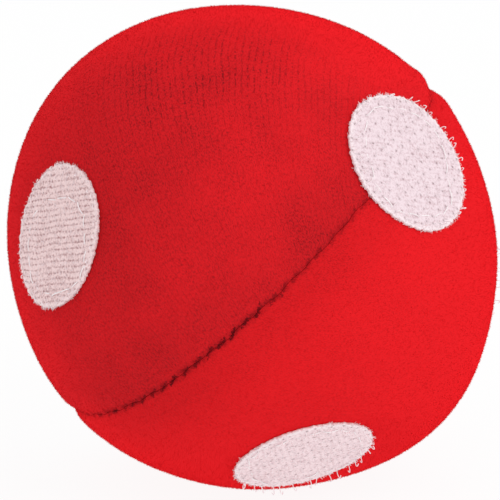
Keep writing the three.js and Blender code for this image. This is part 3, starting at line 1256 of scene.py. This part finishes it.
@dataclass
class HookCoin:
    """One coin of hook tape: woven backing, rows of curled hooks, a frayed edge and a sewn ring."""

    form: BallForm
    seat: Seat
    backing: Material
    filament: Material
    thread: Material
    grid: int = 118
    edge_lobes: tuple[tuple[int, float], ...] = (
        (2, 0.12 * MM),
        (3, 0.10 * MM),
        (5, 0.06 * MM),
        (29, 0.06 * MM),
        (53, 0.07 * MM),
        (83, 0.05 * MM),
    )
    edge_drop: float = 0.12 * MM
    edge_width: float = 1.0 * MM
    cord_pitch: float = 0.92 * MM
    cord_height: float = 0.05 * MM
    cord_power: float = 0.8
    knot_pitch: float = 0.92 * MM
    knot_height: float = 0.03 * MM
    gap_edge: float = 0.8
    gap_least: float = 0.4
    matted: float = 0.4
    warp: float = 0.14 * MM
    warp_length: float = 8 * MM
    warp_waves: int = 5
    row_pitch: float = 1.72 * MM
    row_shift: float = 0.25
    hook_pitch: float = 2.3 * MM
    hook_stray: Span = (0.12 * MM, 0.08 * MM)
    hook_foot: float = -0.12 * MM
    hook_height: float = 1.25 * MM
    hook_reach: float = 0.55 * MM
    hook_thickness: float = 0.15 * MM
    hook_wobble: float = 0.35
    worn_height: float = 0.35
    inner_hooks: float = 0.5
    pit_radius: float = 0.17 * MM
    pit_shift: float = 0.22 * MM
    open_rim: float = 1.2 * MM
    rim_pitch: float = 2.2 * MM
    rim_stray: float = 0.35
    rim_inset: Span = (0.3 * MM, 0.8 * MM)
    rim_turn: float = 1.2
    ring_power: float = 2.8
    ring_draw: float = 0.06 * MM
    ring_reach: float = 0.45 * MM
    stitch_length: float = 2.7 * MM
    stitch_rise: float = 0.3 * MM
    stitch_height: Span = (-0.28 * MM, 0.1 * MM)
    stitch_stray: float = 0.14 * MM
    stitch_skew: float = 0.16
    thread_thickness: float = 0.2 * MM
    fray_count: int = 760
    fray_inset: float = 0.2 * MM
    fray_height: Span = (-0.45 * MM, -0.12 * MM)
    fray_roll: float = 3.0
    tuft_count: int = 30
    tufted: float = 0.25
    tuft_spread: float = 0.025
    tuft_size: float = 1.3
    fuzz_count: int = 1300
    fuzz_reach: float = 0.95
    fuzz_height: Span = (-0.08 * MM, 0.0)
    fuzz_roll: float = 0.5
    fibre_length: float = 0.5 * MM
    fibre_thickness: float = 0.06 * MM
    fibre_wobble: float = 0.9

    def _ring(self) -> Array:
        """The sewn ring as a closed path of places on the coin: a rounded square."""
        angle = np.linspace(0, TURN, 361)
        turns = polar(1.0, angle)
        rounded = np.sign(turns) * np.abs(turns) ** (2 / self.ring_power)
        return np.array(self.seat.ring_half) * rounded + np.array([self.seat.ring_shift, 0])

    def _edge(self, angle: Array) -> Array:
        """The radius of the cut edge round the coin, a little oval and ragged."""
        draw = np.random.default_rng(self.seat.seed)
        stretch = self.seat.oval * np.cos(2 * (angle - math.radians(self.seat.oval_turn)))
        radius = self.form.coin_radius * self.seat.size * (1 + stretch)
        for lobes, height in self.edge_lobes:
            radius += height * np.sin(lobes * angle + draw.uniform(0, TURN))
        return radius

    def _weave(self, x: Array, y: Array) -> tuple[Array, Array]:
        """The woven face.

        Args:
            x: places on the coin across the cords.
            y: the same places along the cords.

        Returns:
            The face's height and how much of it is cord.
        """
        flat = np.stack([x, y, 0 * x], axis=-1)
        x = x + self.warp * waves(flat, self.warp_length, self.warp_waves, self.seat.seed)
        column = x / self.cord_pitch
        row = np.round(column)
        cord = np.cos(math.pi * (column - row)) ** self.cord_power
        knot, beat = (
            0.5 + 0.5 * np.cos(TURN * y / self.knot_pitch + math.pi * step)
            for step in (row, np.floor(column))
        )
        height = self.cord_height * cord + self.knot_height * knot * cord
        # painted gaps between the cords, darker where the cords cross over: the red below and
        # painted shade
        gap = np.clip(1 - cord / self.gap_edge, 0, 1)
        shown = 1 - gap * (self.gap_least + (1 - self.gap_least) * beat)
        return height * (1.0 if self.seat.worn else self.matted), shown

    def _backing(self) -> Mesh:
        """The woven disc as one closed mesh in the coin's own frame."""
        step = np.linspace(-1, 1, self.grid + 1)
        a, b = np.meshgrid(step, step, indexing="ij")
        wide = np.maximum(np.abs(a), np.abs(b))
        with np.errstate(divide="ignore", invalid="ignore"):
            along = np.where(
                np.abs(a) >= np.abs(b),
                np.where(a >= 0, 0, math.pi) + (math.pi / 4) * np.nan_to_num(b / a),
                np.where(b >= 0, 0.5, 1.5) * math.pi - (math.pi / 4) * np.nan_to_num(a / b),
            )
        edge = self._edge(along)
        radius = wide * edge
        flat = polar(radius, along)
        height, weave = self._weave(flat[..., 0], flat[..., 1])
        rim = np.clip((radius - edge + self.edge_width) / self.edge_width, 0, 1)
        places = flat.reshape(-1, 2)
        beside = self._apart(places, self._ring()[::3]).reshape(height.shape)
        drawn = np.exp(-((beside / self.ring_reach) ** 2))
        height = height - self.edge_drop * rim**2 - self.ring_draw * drawn - self.cord_height
        top = np.column_stack([places, height.ravel()])
        count = self.grid + 1
        at = np.arange(count * count).reshape(count, count)
        corners = [at[:-1, :-1], at[1:, :-1], at[1:, 1:], at[:-1, 1:]]
        quads = np.stack(corners, axis=-1).reshape(-1, 4)
        rim_at = np.concatenate([at[:-1, 0], at[-1, :-1], at[:0:-1, -1], at[0, :0:-1]])
        low = top[rim_at] * np.array([1, 1, 0]) - np.array([0, 0, self.form.tape_thickness])
        low_at = len(top) + np.arange(len(rim_at))
        walls = np.stack([rim_at, low_at, np.roll(low_at, -1), np.roll(rim_at, -1)], axis=-1)
        middle = np.full(len(rim_at), len(top) + len(rim_at))
        base = np.stack([middle, np.roll(low_at, -1), low_at], axis=-1)
        points = np.concatenate([top, low, [[0, 0, -self.form.tape_thickness]]])
        mesh = mesh_of("backing", points, quads, walls, base)
        # painted shade round the foot of each hook, a little to one side of it
        roots = self._roots()[0] + np.array([self.pit_shift, 0])
        pit = np.exp(-((self._apart(places, roots) / self.pit_radius) ** 2))
        below = np.zeros(len(points) - len(top))
        carry(
            mesh,
            weave=np.concatenate([weave.ravel(), below + 1.0]),
            rim=np.concatenate([rim.ravel(), below + 1.0]),
            pit=np.concatenate([pit, below]),
        )
        mesh.materials.append(self.backing)
        return mesh

    @staticmethod
    def _apart(places: Array, others: Array) -> Array:
        """How far each place is from the nearest of some others."""
        return np.linalg.norm(places[:, None] - others[None], axis=-1).min(axis=1)

    def _roots(self) -> tuple[Array, Array]:
        """Where the hooks stand, in staggered rows and along the rim, and the way each faces."""
        draw = np.random.default_rng(self.seat.seed + 40)
        reach = self.form.coin_radius
        last_row, last_hook = int(reach / self.row_pitch) + 1, int(reach / self.hook_pitch) + 1
        rows = np.arange(-last_row, last_row + 1)
        columns = np.arange(-last_hook, last_hook + 1)
        row, column = [a.ravel() for a in np.meshgrid(rows, columns, indexing="ij")]
        x = (column + 0.5 * (row % 2)) * self.hook_pitch
        x = x + draw.normal(0, self.hook_stray[0], row.size)
        y = (row + self.row_shift) * self.row_pitch + draw.normal(0, self.hook_stray[1], row.size)
        on_coin = np.hypot(x, y) < self._edge(np.arctan2(y, x)) - self.open_rim
        facing = np.where((row + column) % 2, 0.0, math.pi)
        count = round(TURN * reach / self.rim_pitch)
        stray = draw.uniform(-self.rim_stray, self.rim_stray, count)
        angle = (np.arange(count) + stray) * TURN / count
        rim = polar(self._edge(angle) - draw.uniform(*self.rim_inset, count), angle)
        turned = angle + draw.choice([-self.rim_turn, self.rim_turn], count)
        places = np.concatenate([np.stack([x, y], axis=-1)[on_coin], rim])
        return places, np.concatenate([facing[on_coin], turned])

    def _hook_roots(self) -> Mesh:
        """A point at the foot of each hook, with the way that it faces and its size."""
        places, facing = self._roots()
        feet = np.column_stack([places, np.full(len(places), self.hook_foot)])
        mesh = mesh_of("hook_roots", feet)
        x, y = places.T
        inside = self._edge(np.arctan2(y, x)) - np.hypot(x, y) > self.open_rim
        carry(mesh, facing=facing, size=np.where(inside, self.inner_hooks, 1.0))
        return mesh

    @staticmethod
    def hook_sheet() -> FormSheet:
        """A tree that stands a curled hook on every point."""
        sheet = FormSheet("tape_hooks", "Height", "Reach", "Thickness", "Wobble")
        height, reach, wobble = sheet.size("Height"), sheet.size("Reach"), sheet.size("Wobble")
        path = [
            (0.0, 0.0, 0.0),
            (reach * -0.1, 0.0, height * 1.1),
            (reach * 0.7, 0.0, height * 1.5),
            (reach, 0.0, height * 0.8),
        ]
        turn = sheet.turned(
            sheet.chance(-wobble, wobble, 0),
            sheet.chance(-wobble, wobble, 1),
            sheet.attribute("facing") + sheet.chance(wobble * -1.6, wobble * 1.6, 2),
        )
        scale = sheet.chance(0.75, 1.12, 3) * sheet.attribute("size")
        return sheet.planted(sheet.points(), sheet.wire(path, 7, 5), turn, scale)

    def _fibre_points(self) -> Mesh:
        """Points where loose fibres start, round the cut edge and all over the face, each with the
        way that it faces, how far it may roll over and its size."""
        draw = np.random.default_rng(self.seat.seed + 80)
        fray, fuzz = self.fray_count, self.fuzz_count
        out = draw.uniform(0, TURN, fray)
        tufts = draw.choice(draw.uniform(0, TURN, self.tuft_count), fray)
        tufted = draw.random(fray) < self.tufted
        out = np.where(tufted, tufts + draw.normal(0, self.tuft_spread, fray), out)
        turn = draw.uniform(0, TURN, fuzz)
        spread = self._edge(turn) * np.sqrt(draw.uniform(0, self.fuzz_reach, fuzz))
        radius = np.concatenate([self._edge(out) - self.fray_inset, spread])
        rim = draw.uniform(*self.fray_height, fray)
        height = np.concatenate([rim, draw.uniform(*self.fuzz_height, fuzz)])
        flat = polar(radius, np.concatenate([out, turn]))
        mesh = mesh_of("fibre_points", np.column_stack([flat, height]))
        carry(
            mesh,
            facing=np.concatenate([out, draw.uniform(0, TURN, fuzz)]),
            roll=np.repeat([self.fray_roll, self.fuzz_roll], [fray, fuzz]),
            size=np.concatenate([np.where(tufted, self.tuft_size, 1.0), np.ones(fuzz)]),
        )
        return mesh

    @staticmethod
    def fray_sheet() -> FormSheet:
        """A tree that lays a loose fibre along the way that every point faces."""
        sheet = FormSheet("tape_fray", "Length", "Thickness", "Wobble")
        length, wobble, roll = sheet.size("Length"), sheet.size("Wobble"), sheet.attribute("roll")
        path = [
            (0.0, 0.0, 0.0),
            (length * 0.4, 0.0, length * 0.15),
            (length * 0.8, length * 0.1, length * 0.3),
            (length, length * 0.3, length * 0.1),
        ]
        turn = sheet.turned(
            sheet.chance(-roll, roll, 0),
            sheet.chance(-0.4, 0.1, 1),
            sheet.attribute("facing") + sheet.chance(-wobble, wobble, 2),
        )
        scale = sheet.chance(0.4, 1.2, 3) * sheet.attribute("size")
        return sheet.planted(sheet.points(), sheet.wire(path, 3, 3), turn, scale)

    def _ring_points(self) -> Mesh:
        """Points along the sewn ring, one in the middle of each stitch, with the way it runs."""
        path = self._ring()
        run = np.concatenate([[0], np.cumsum(np.linalg.norm(np.diff(path, axis=0), axis=1))])
        count = round(run[-1] / self.stitch_length)

        def along(part: Array) -> Array:
            """The places at a part of the way round the ring, counted in stitches."""
            way = (part % count) * run[-1] / count
            return np.stack([np.interp(way, run, axis) for axis in path.T], axis=-1)

        middles = np.arange(count) + 0.5
        draw = np.random.default_rng(self.seat.seed + 60)
        height = draw.uniform(*self.stitch_height, count)
        stray = draw.normal(0, self.stitch_stray, (count, 2))
        mesh = mesh_of("ring_points", np.column_stack([along(middles) + stray, height]))
        x, y = (along(middles + 0.4) - along(middles - 0.4)).T
        skew = draw.normal(0, self.stitch_skew, count)
        runs = np.column_stack([x - skew * y, y + skew * x, 0 * skew])
        runs /= np.linalg.norm(runs, axis=1, keepdims=True)
        carry(mesh, run=runs, rise=np.tile([0.0, 0.0, 1.0], (count, 1)))
        return mesh

    def build(
        self, hook_sheet: FormSheet, fray_sheet: FormSheet, stitch_sheet: FormSheet
    ) -> None:
        """Builds the coin's backing, its hooks, its loose fibres and its sewn ring.

        Args:
            hook_sheet: the tree that stands the hooks.
            fray_sheet: the tree that lays the loose fibres.
            stitch_sheet: the tree that sews the ring.
        """
        seat, coin = self.seat, f"hook_coin_{self.seat.name}"
        hooks = {
            "Height": self.hook_height * (self.worn_height if seat.worn else 1.0),
            "Reach": self.hook_reach,
            "Thickness": self.hook_thickness,
            "Wobble": self.hook_wobble,
            "Seed": seat.seed,
        }
        fray = {
            "Length": self.fibre_length,
            "Thickness": self.fibre_thickness,
            "Wobble": self.fibre_wobble,
            "Seed": seat.seed + 20,
        }
        stitch = {
            "Length": self.stitch_length,
            "Thickness": self.thread_thickness,
            "Rise": self.stitch_rise,
            "Seed": seat.seed + 30,
        }
        placing = self.form.placing() @ seat.frame(self.form.seat_height(seat))
        tape = {
            "backing": self._backing(),
            "hooks": hook_sheet.applied(self._hook_roots(), self.filament, hooks),
            "fibres": fray_sheet.applied(self._fibre_points(), self.filament, fray),
        }
        ring = stitch_sheet.applied(self._ring_points(), self.thread, stitch)
        for name, mesh in tape.items():
            mesh.transform(placing)
            settle(mesh, f"{coin}_{name}", coin)
        ring.transform(placing)
        settle(ring, f"coin_ring_{seat.name}", f"coin_stitching_{seat.name}")


@dataclass
class SeamStitching:
    """The machine stitching in the seam and the hand stitching over its closed gap."""

    form: BallForm
    thread: Material
    thickness: float = 0.3 * MM
    sink: float = 0.7 * MM
    rise: float = 0.15 * MM
    closing_length: float = 40 * MM
    closing_longitude: float = math.radians(90)
    closing_reach: float = 0.9 * MM
    closing_sink: float = -0.05 * MM
    closing_rise: float = 0.35 * MM
    closing_slant: float = 1.15

    @staticmethod
    def stitch_sheet() -> FormSheet:
        """A tree that lays one stitch along every point's run, bowed along its rise."""
        sheet = FormSheet("thread_stitches", "Length", "Thickness", "Rise")
        half, rise = sheet.size("Length") * 0.5, sheet.size("Rise")
        dip = rise * -0.9
        path = [(-half, 0.0, dip), (half * -0.75, 0.0, rise), (half * 0.75, 0.0, rise)]
        stitch = sheet.wire([*path, (half, 0.0, dip)], 6, 6)
        axes = {
            "Primary Axis": sheet.attribute("run", "FLOAT_VECTOR"),
            "Secondary Axis": sheet.attribute("rise", "FLOAT_VECTOR"),
        }
        kind = "FunctionNodeAxesToRotation"
        frame = sheet.value(kind, axes, primary_axis="X", secondary_axis="Z")
        facing = sheet.turned(0.0, 0.0, sheet.chance(-0.06, 0.06, 0), frame)
        return sheet.planted(sheet.points(), stitch, facing, sheet.chance(0.92, 1.06, 1))

    def _points(self, longitude: Array, depth: float, slant: float) -> Mesh:
        """Points along the seam, each with the run and the rise of its stitch.

        Args:
            longitude: where the stitches are, in radians.
            depth: how far they lie under the skin.
            slant: how far they turn from along the seam to across it, in radians.

        Returns:
            The points as a mesh.
        """
        out = direction(0.0, longitude)
        east = direction(0.0, longitude + math.pi / 2)
        up = np.tile([0.0, 0.0, 1.0], (len(longitude), 1))
        places = out * (self.form.skin(out) - depth)[:, None]
        places += up * (self.form.wander(longitude) + self.form.bow(longitude))[:, None]
        mesh = mesh_of("seam_points", places)
        carry(mesh, run=math.cos(slant) * east + math.sin(slant) * up, rise=out)
        return mesh

    def build(self, stitch_sheet: FormSheet) -> None:
        """Builds both threads.

        Args:
            stitch_sheet: the tree that lays the stitches.
        """
        form = self.form
        every = form.seam_start + TURN / form.stitches * (np.arange(form.stitches) + 0.5)
        away = np.abs(short_way(every, self.closing_longitude, TURN))
        span = self.closing_length / form.seam_radius / 2
        count = round(self.closing_length / form.stitch_length)
        closing = self.closing_longitude + np.linspace(-span, span, count)
        machine = {"Length": form.stitch_length, "Rise": self.rise, "Seed": 3}
        hand = {"Length": 2 * self.closing_reach, "Rise": self.closing_rise, "Seed": 4}
        made = {
            "seam": (self._points(every[away > span], self.sink, 0.0), machine),
            "closing": (self._points(closing, self.closing_sink, self.closing_slant), hand),
        }
        for name, (points, sizes) in made.items():
            sizes["Thickness"] = self.thickness
            mesh = stitch_sheet.applied(points, self.thread, sizes)
            mesh.transform(form.placing())
            settle(mesh, f"{name}_stitching", f"{name}_thread")


@dataclass
class FibreFilling:
    """The stuffed fibre inside, uneven where it presses on the cups."""

    form: BallForm
    fibre: Material
    sides: int = 96
    rings: int = 63
    cover: float = 1.9 * MM
    tuft_height: float = 0.35 * MM
    tuft_length: float = 6 * MM
    tuft_waves: int = 12
    tuft_seed: int = 21
    channel_height: float = 2.2 * MM
    channel_depth: float = 6.2 * MM

    def build(self) -> None:
        """Builds the filling, drawn in along the seam for the turned-in edges."""
        latitude = np.linspace(-math.pi / 2, math.pi / 2, self.rings + 2)[1:-1]
        up, round_ = np.meshgrid(latitude, all_round(self.sides), indexing="ij")
        towards = direction(up, round_)
        radius = self.form.skin(towards) - self.cover
        places = towards * self.form.seam_radius
        tufts = waves(places, self.tuft_length, self.tuft_waves, self.tuft_seed)
        radius -= self.tuft_height * (1 + np.tanh(tufts)) / 2
        height = np.abs(radius * np.sin(up))
        channel = np.clip((self.channel_height * 1.5 - height) / (self.channel_height * 0.5), 0, 1)
        radius -= self.channel_depth * channel
        points = (towards * radius[..., None]).reshape(-1, 3)
        poles = self.form.skin(np.array([[0, 0, -1.0], [0, 0, 1.0]])) - self.cover
        points = np.concatenate([[[0, 0, -poles[0]]], points, [[0, 0, poles[1]]]])
        name = "fibre_filling_stuffed"
        mesh = mesh_of(name, points, *ring_faces(self.rings, self.sides, False))
        mesh.transform(self.form.placing())
        mesh.materials.append(self.fibre)
        piece = settle(mesh, name, "fibre_filling")


@dataclass
class Studio:
    """A white floor, soft even light and a camera where the photograph was taken from."""

    form: BallForm
    distance: float = 0.7
    elevation: float = math.radians(15)
    pixels_across: int = 500
    pixels_per_metre: float = 6100.0
    ball_pixel: Span = (251.8, 247.6)
    sensor_width: float = 36.0
    floor_size: float = 4.0
    floor_colour: Colour = (0.95, 0.95, 0.95, 1)
    floor_glow: float = 1.0
    floor_white: float = 0.92
    world_level: float = 0.92
    key_power: float = 3.0
    key_size: float = 0.7
    key_place: tuple[float, float, float] = (0.7, -0.6, 0.75)

    def _camera(self) -> None:
        """The camera, straight at the ball with its middle where the photograph has it."""
        lens = bpy.data.cameras.new("camera")
        lens.sensor_width = self.sensor_width
        lens.lens = self.pixels_per_metre * self.distance * self.sensor_width / self.pixels_across
        camera = placed("camera", lens)
        back = Vector((0, -math.cos(self.elevation), math.sin(self.elevation)))
        up = Vector((0, math.sin(self.elevation), math.cos(self.elevation)))
        right = up.cross(back)
        middle = self.pixels_across / 2
        across = (middle - self.ball_pixel[0]) / self.pixels_per_metre
        down = (self.ball_pixel[1] - middle) / self.pixels_per_metre
        target = self.form.placing().translation + right * across + up * down
        turn = Matrix((right, up, back)).transposed().to_4x4()
        camera.matrix_world = Matrix.Translation(target + back * self.distance) @ turn
        bpy.context.scene.camera = camera

    @staticmethod
    def _seen(sheet: NodeSheet) -> Value:
        """1 on the rays of the camera, of gloss and of glass, which see the room as plain white."""
        path = sheet.add("ShaderNodeLightPath")
        kinds = ("Camera", "Glossy", "Transmission")
        camera, gloss, glass = (sheet.out(path, f"Is {kind} Ray") for kind in kinds)
        return camera.over(gloss).over(glass)

    def _floor(self) -> None:
        """A white floor that keeps the ball's shadow, lit from under like a light table."""
        sheet = FinishSheet("white_floor")
        matt = sheet.value("ShaderNodeBsdfDiffuse", {"Color": self.floor_colour})
        glow = sheet.value("ShaderNodeEmission", {"Strength": 1.0})
        share = self.floor_glow + self._seen(sheet) * (self.floor_white - self.floor_glow)
        side = self.floor_size / 2
        corners = np.array([[-side, -side, 0], [side, -side, 0], [side, side, 0], [-side, side, 0]])
        mesh = mesh_of("floor", corners, np.array([[0, 1, 2, 3]]))
        mesh.materials.append(sheet.finished(sheet.blended(share, matt, glow)))
        floor = placed("floor", mesh)

    def _light(self) -> None:
        """A white room, and one broad lamp from the right."""
        world = bpy.data.worlds.new("white_room")
        world.use_nodes = True
        world.node_tree.nodes.clear()
        sheet = NodeSheet(world.node_tree)
        level = self.world_level + self._seen(sheet) * (1 - self.world_level)
        sky = sheet.value("ShaderNodeBackground", {"Color": (1, 1, 1, 1), "Strength": level})
        sheet.add("ShaderNodeOutputWorld", {"Surface": sky})
        bpy.context.scene.world = world
        lamp = bpy.data.lights.new("key", "AREA")
        lamp.energy = self.key_power
        lamp.size = self.key_size
        key = placed("key", lamp)
        key.location = self.key_place
        towards = self.form.placing().translation - key.location
        key.rotation_mode = "QUATERNION"
        key.rotation_quaternion = towards.to_track_quat("-Z", "Y")

    def build(self) -> None:
        """Sets up the camera, the floor and the light."""
        self._camera()
        self._floor()
        self._light()
        bpy.context.scene.view_settings.view_transform = "Standard"


def sew_cups(form: BallForm) -> None:
    """Builds both cups of the cover, each with its own painted shade and turn of the knit."""
    # The upper cup's red, deep red and nap root are darker than the lower cup's: painted shade for
    # how the light falls on its pile.
    upper = LoopFabric(
        "loop_fabric_upper",
        Half.UPPER,
        colour=(0.78, 0.0150, 0.0205, 1),
        deep=(0.20, 0.009, 0.012, 1),
        # painted sheen
        painted_sheen=(0.84, 0.0145, 0.0205, 1),
        wale_turn=math.radians(-16),
        wale_strength=0.58,
        # painted shade, broadest and darkest to the left of the upper cup
        worn=(
            Patch((-34 * MM, -16 * MM, 52 * MM), (14 * MM, 56 * MM), 0.31),
            Patch((13 * MM, -31 * MM, 58 * MM), (3 * MM, 22 * MM), 0.13),
        ),
        opened=Patch((-9.5 * MM, -17 * MM, 75 * MM), (2 * MM, 20 * MM), 1.0, (0.65, 1.0, 1.1)),
        band=0.17,
        nick_length=1.3 * MM,
        stitch_length=form.stitch_length,
    )
    lower = LoopFabric(
        "loop_fabric_lower",
        Half.LOWER,
        colour=(0.80, 0.0135, 0.0185, 1),
        deep=(0.40, 0.010, 0.013, 1),
        # painted sheen
        painted_sheen=(0.80, 0.0140, 0.0195, 1),
        wale_turn=math.radians(-41),
        wale_strength=0.45,
        # painted shade
        worn=(
            Patch((-20 * MM, -31 * MM, 22 * MM), (4 * MM, 22 * MM), 0.1),
            Patch((-4 * MM, -37 * MM, 36 * MM), (8 * MM, 36 * MM), 0.1),
        ),
        opened=Patch((10 * MM, -25 * MM, 10 * MM), (2 * MM, 20 * MM)),
        band=0.22,
        nick_length=0.5 * MM,
        stitch_length=form.stitch_length,
    )
    # the upper nap's darker root is painted shade
    upper_nap = NapFinish("loop_nap_upper", (0.72, 0.018, 0.024, 1))
    lower_nap = NapFinish("loop_nap_lower", (0.84, 0.018, 0.024, 1))
    nap_sheet = CoverHalf.nap_sheet()
    CoverHalf(form, upper, upper_nap, nap_seed=7).build(nap_sheet)
    CoverHalf(form, lower, lower_nap, nap_seed=57).build(nap_sheet)


def sew_coins(form: BallForm, stitch_sheet: FormSheet) -> None:
    """Builds the six coins, of clean tape but for the worn left one, whose darker pinker tone is
    painted reflection of the red around it, and the low one, brighter and pinker as painted light.
    """
    clean = TapeFinish(
        "hook_tape",
        cord=(0.84, 0.69, 0.735, 1),
        gap=(0.57, 0.39, 0.42, 1),
        # painted shade at the hooks' feet
        pit=(0.16, 0.07, 0.08, 1),
        frayed=(0.94, 0.82, 0.84, 1),
        contrast=0.4,
        pit_depth=0.9,
    )
    # the low coin: a brighter, pinker copy of the clean tape, painted light
    low = replace(
        clean, name="hook_tape_low_painted_light", cord=(0.93, 0.73, 0.76, 1), gap=(0.63, 0.41, 0.43, 1)
    )
    # the worn left coin: its weave shows through real wear, and its pinker cords and darker gaps
    # are painted reflection of the red fabric around it
    left = replace(
        clean,
        name="hook_tape_worn_painted_reflection",
        cord=(0.89, 0.67, 0.67, 1),
        gap=(0.40, 0.20, 0.205, 1),
        frayed=(0.90, 0.73, 0.735, 1),
        contrast=0.8,
        pit_depth=0.35,
    )
    tapes = {"low": low.made(), "left": left.made()}
    clean_tape = clean.made()
    hooks = FilamentFinish("hook_filament", (0.96, 0.86, 0.88, 1), (0.87, 0.74, 0.77, 1), 0.5)
    thread = FilamentFinish("white_thread", (0.96, 0.90, 0.91, 1), (0.88, 0.80, 0.81, 1), 0.7)
    filament, white_thread = hooks.made(), thread.made()
    hook_sheet, fray_sheet = HookCoin.hook_sheet(), HookCoin.fray_sheet()
    for seat in form.seats:
        coin = HookCoin(form, seat, tapes.get(seat.name, clean_tape), filament, white_thread)
        coin.build(hook_sheet, fray_sheet, stitch_sheet)


def main() -> None:
    """Dresses the frame piece by piece."""
    logging.basicConfig(level=logging.INFO, format="%(message)s")
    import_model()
    slack = BallForm()
    form = replace(slack, swell=Stuffing(slack).swelled())
    sew_cups(form)
    stitch_sheet = SeamStitching.stitch_sheet()
    red, dark_red = (0.20, 0.010, 0.012, 1), (0.10, 0.006, 0.007, 1)
    red_thread = FilamentFinish("red_thread", red, dark_red, 0.9, gloss=0.05)
    SeamStitching(form, red_thread.made()).build(stitch_sheet)
    sew_coins(form, stitch_sheet)
    white, grey = (0.88, 0.87, 0.83, 1), (0.70, 0.69, 0.65, 1)
    fibre = FilamentFinish("white_fibre", white, grey, 1.0, grain=2 * MM)
    FibreFilling(form, fibre.made()).build()
    Studio(form).build()


if __name__ == "__main__":
    main()
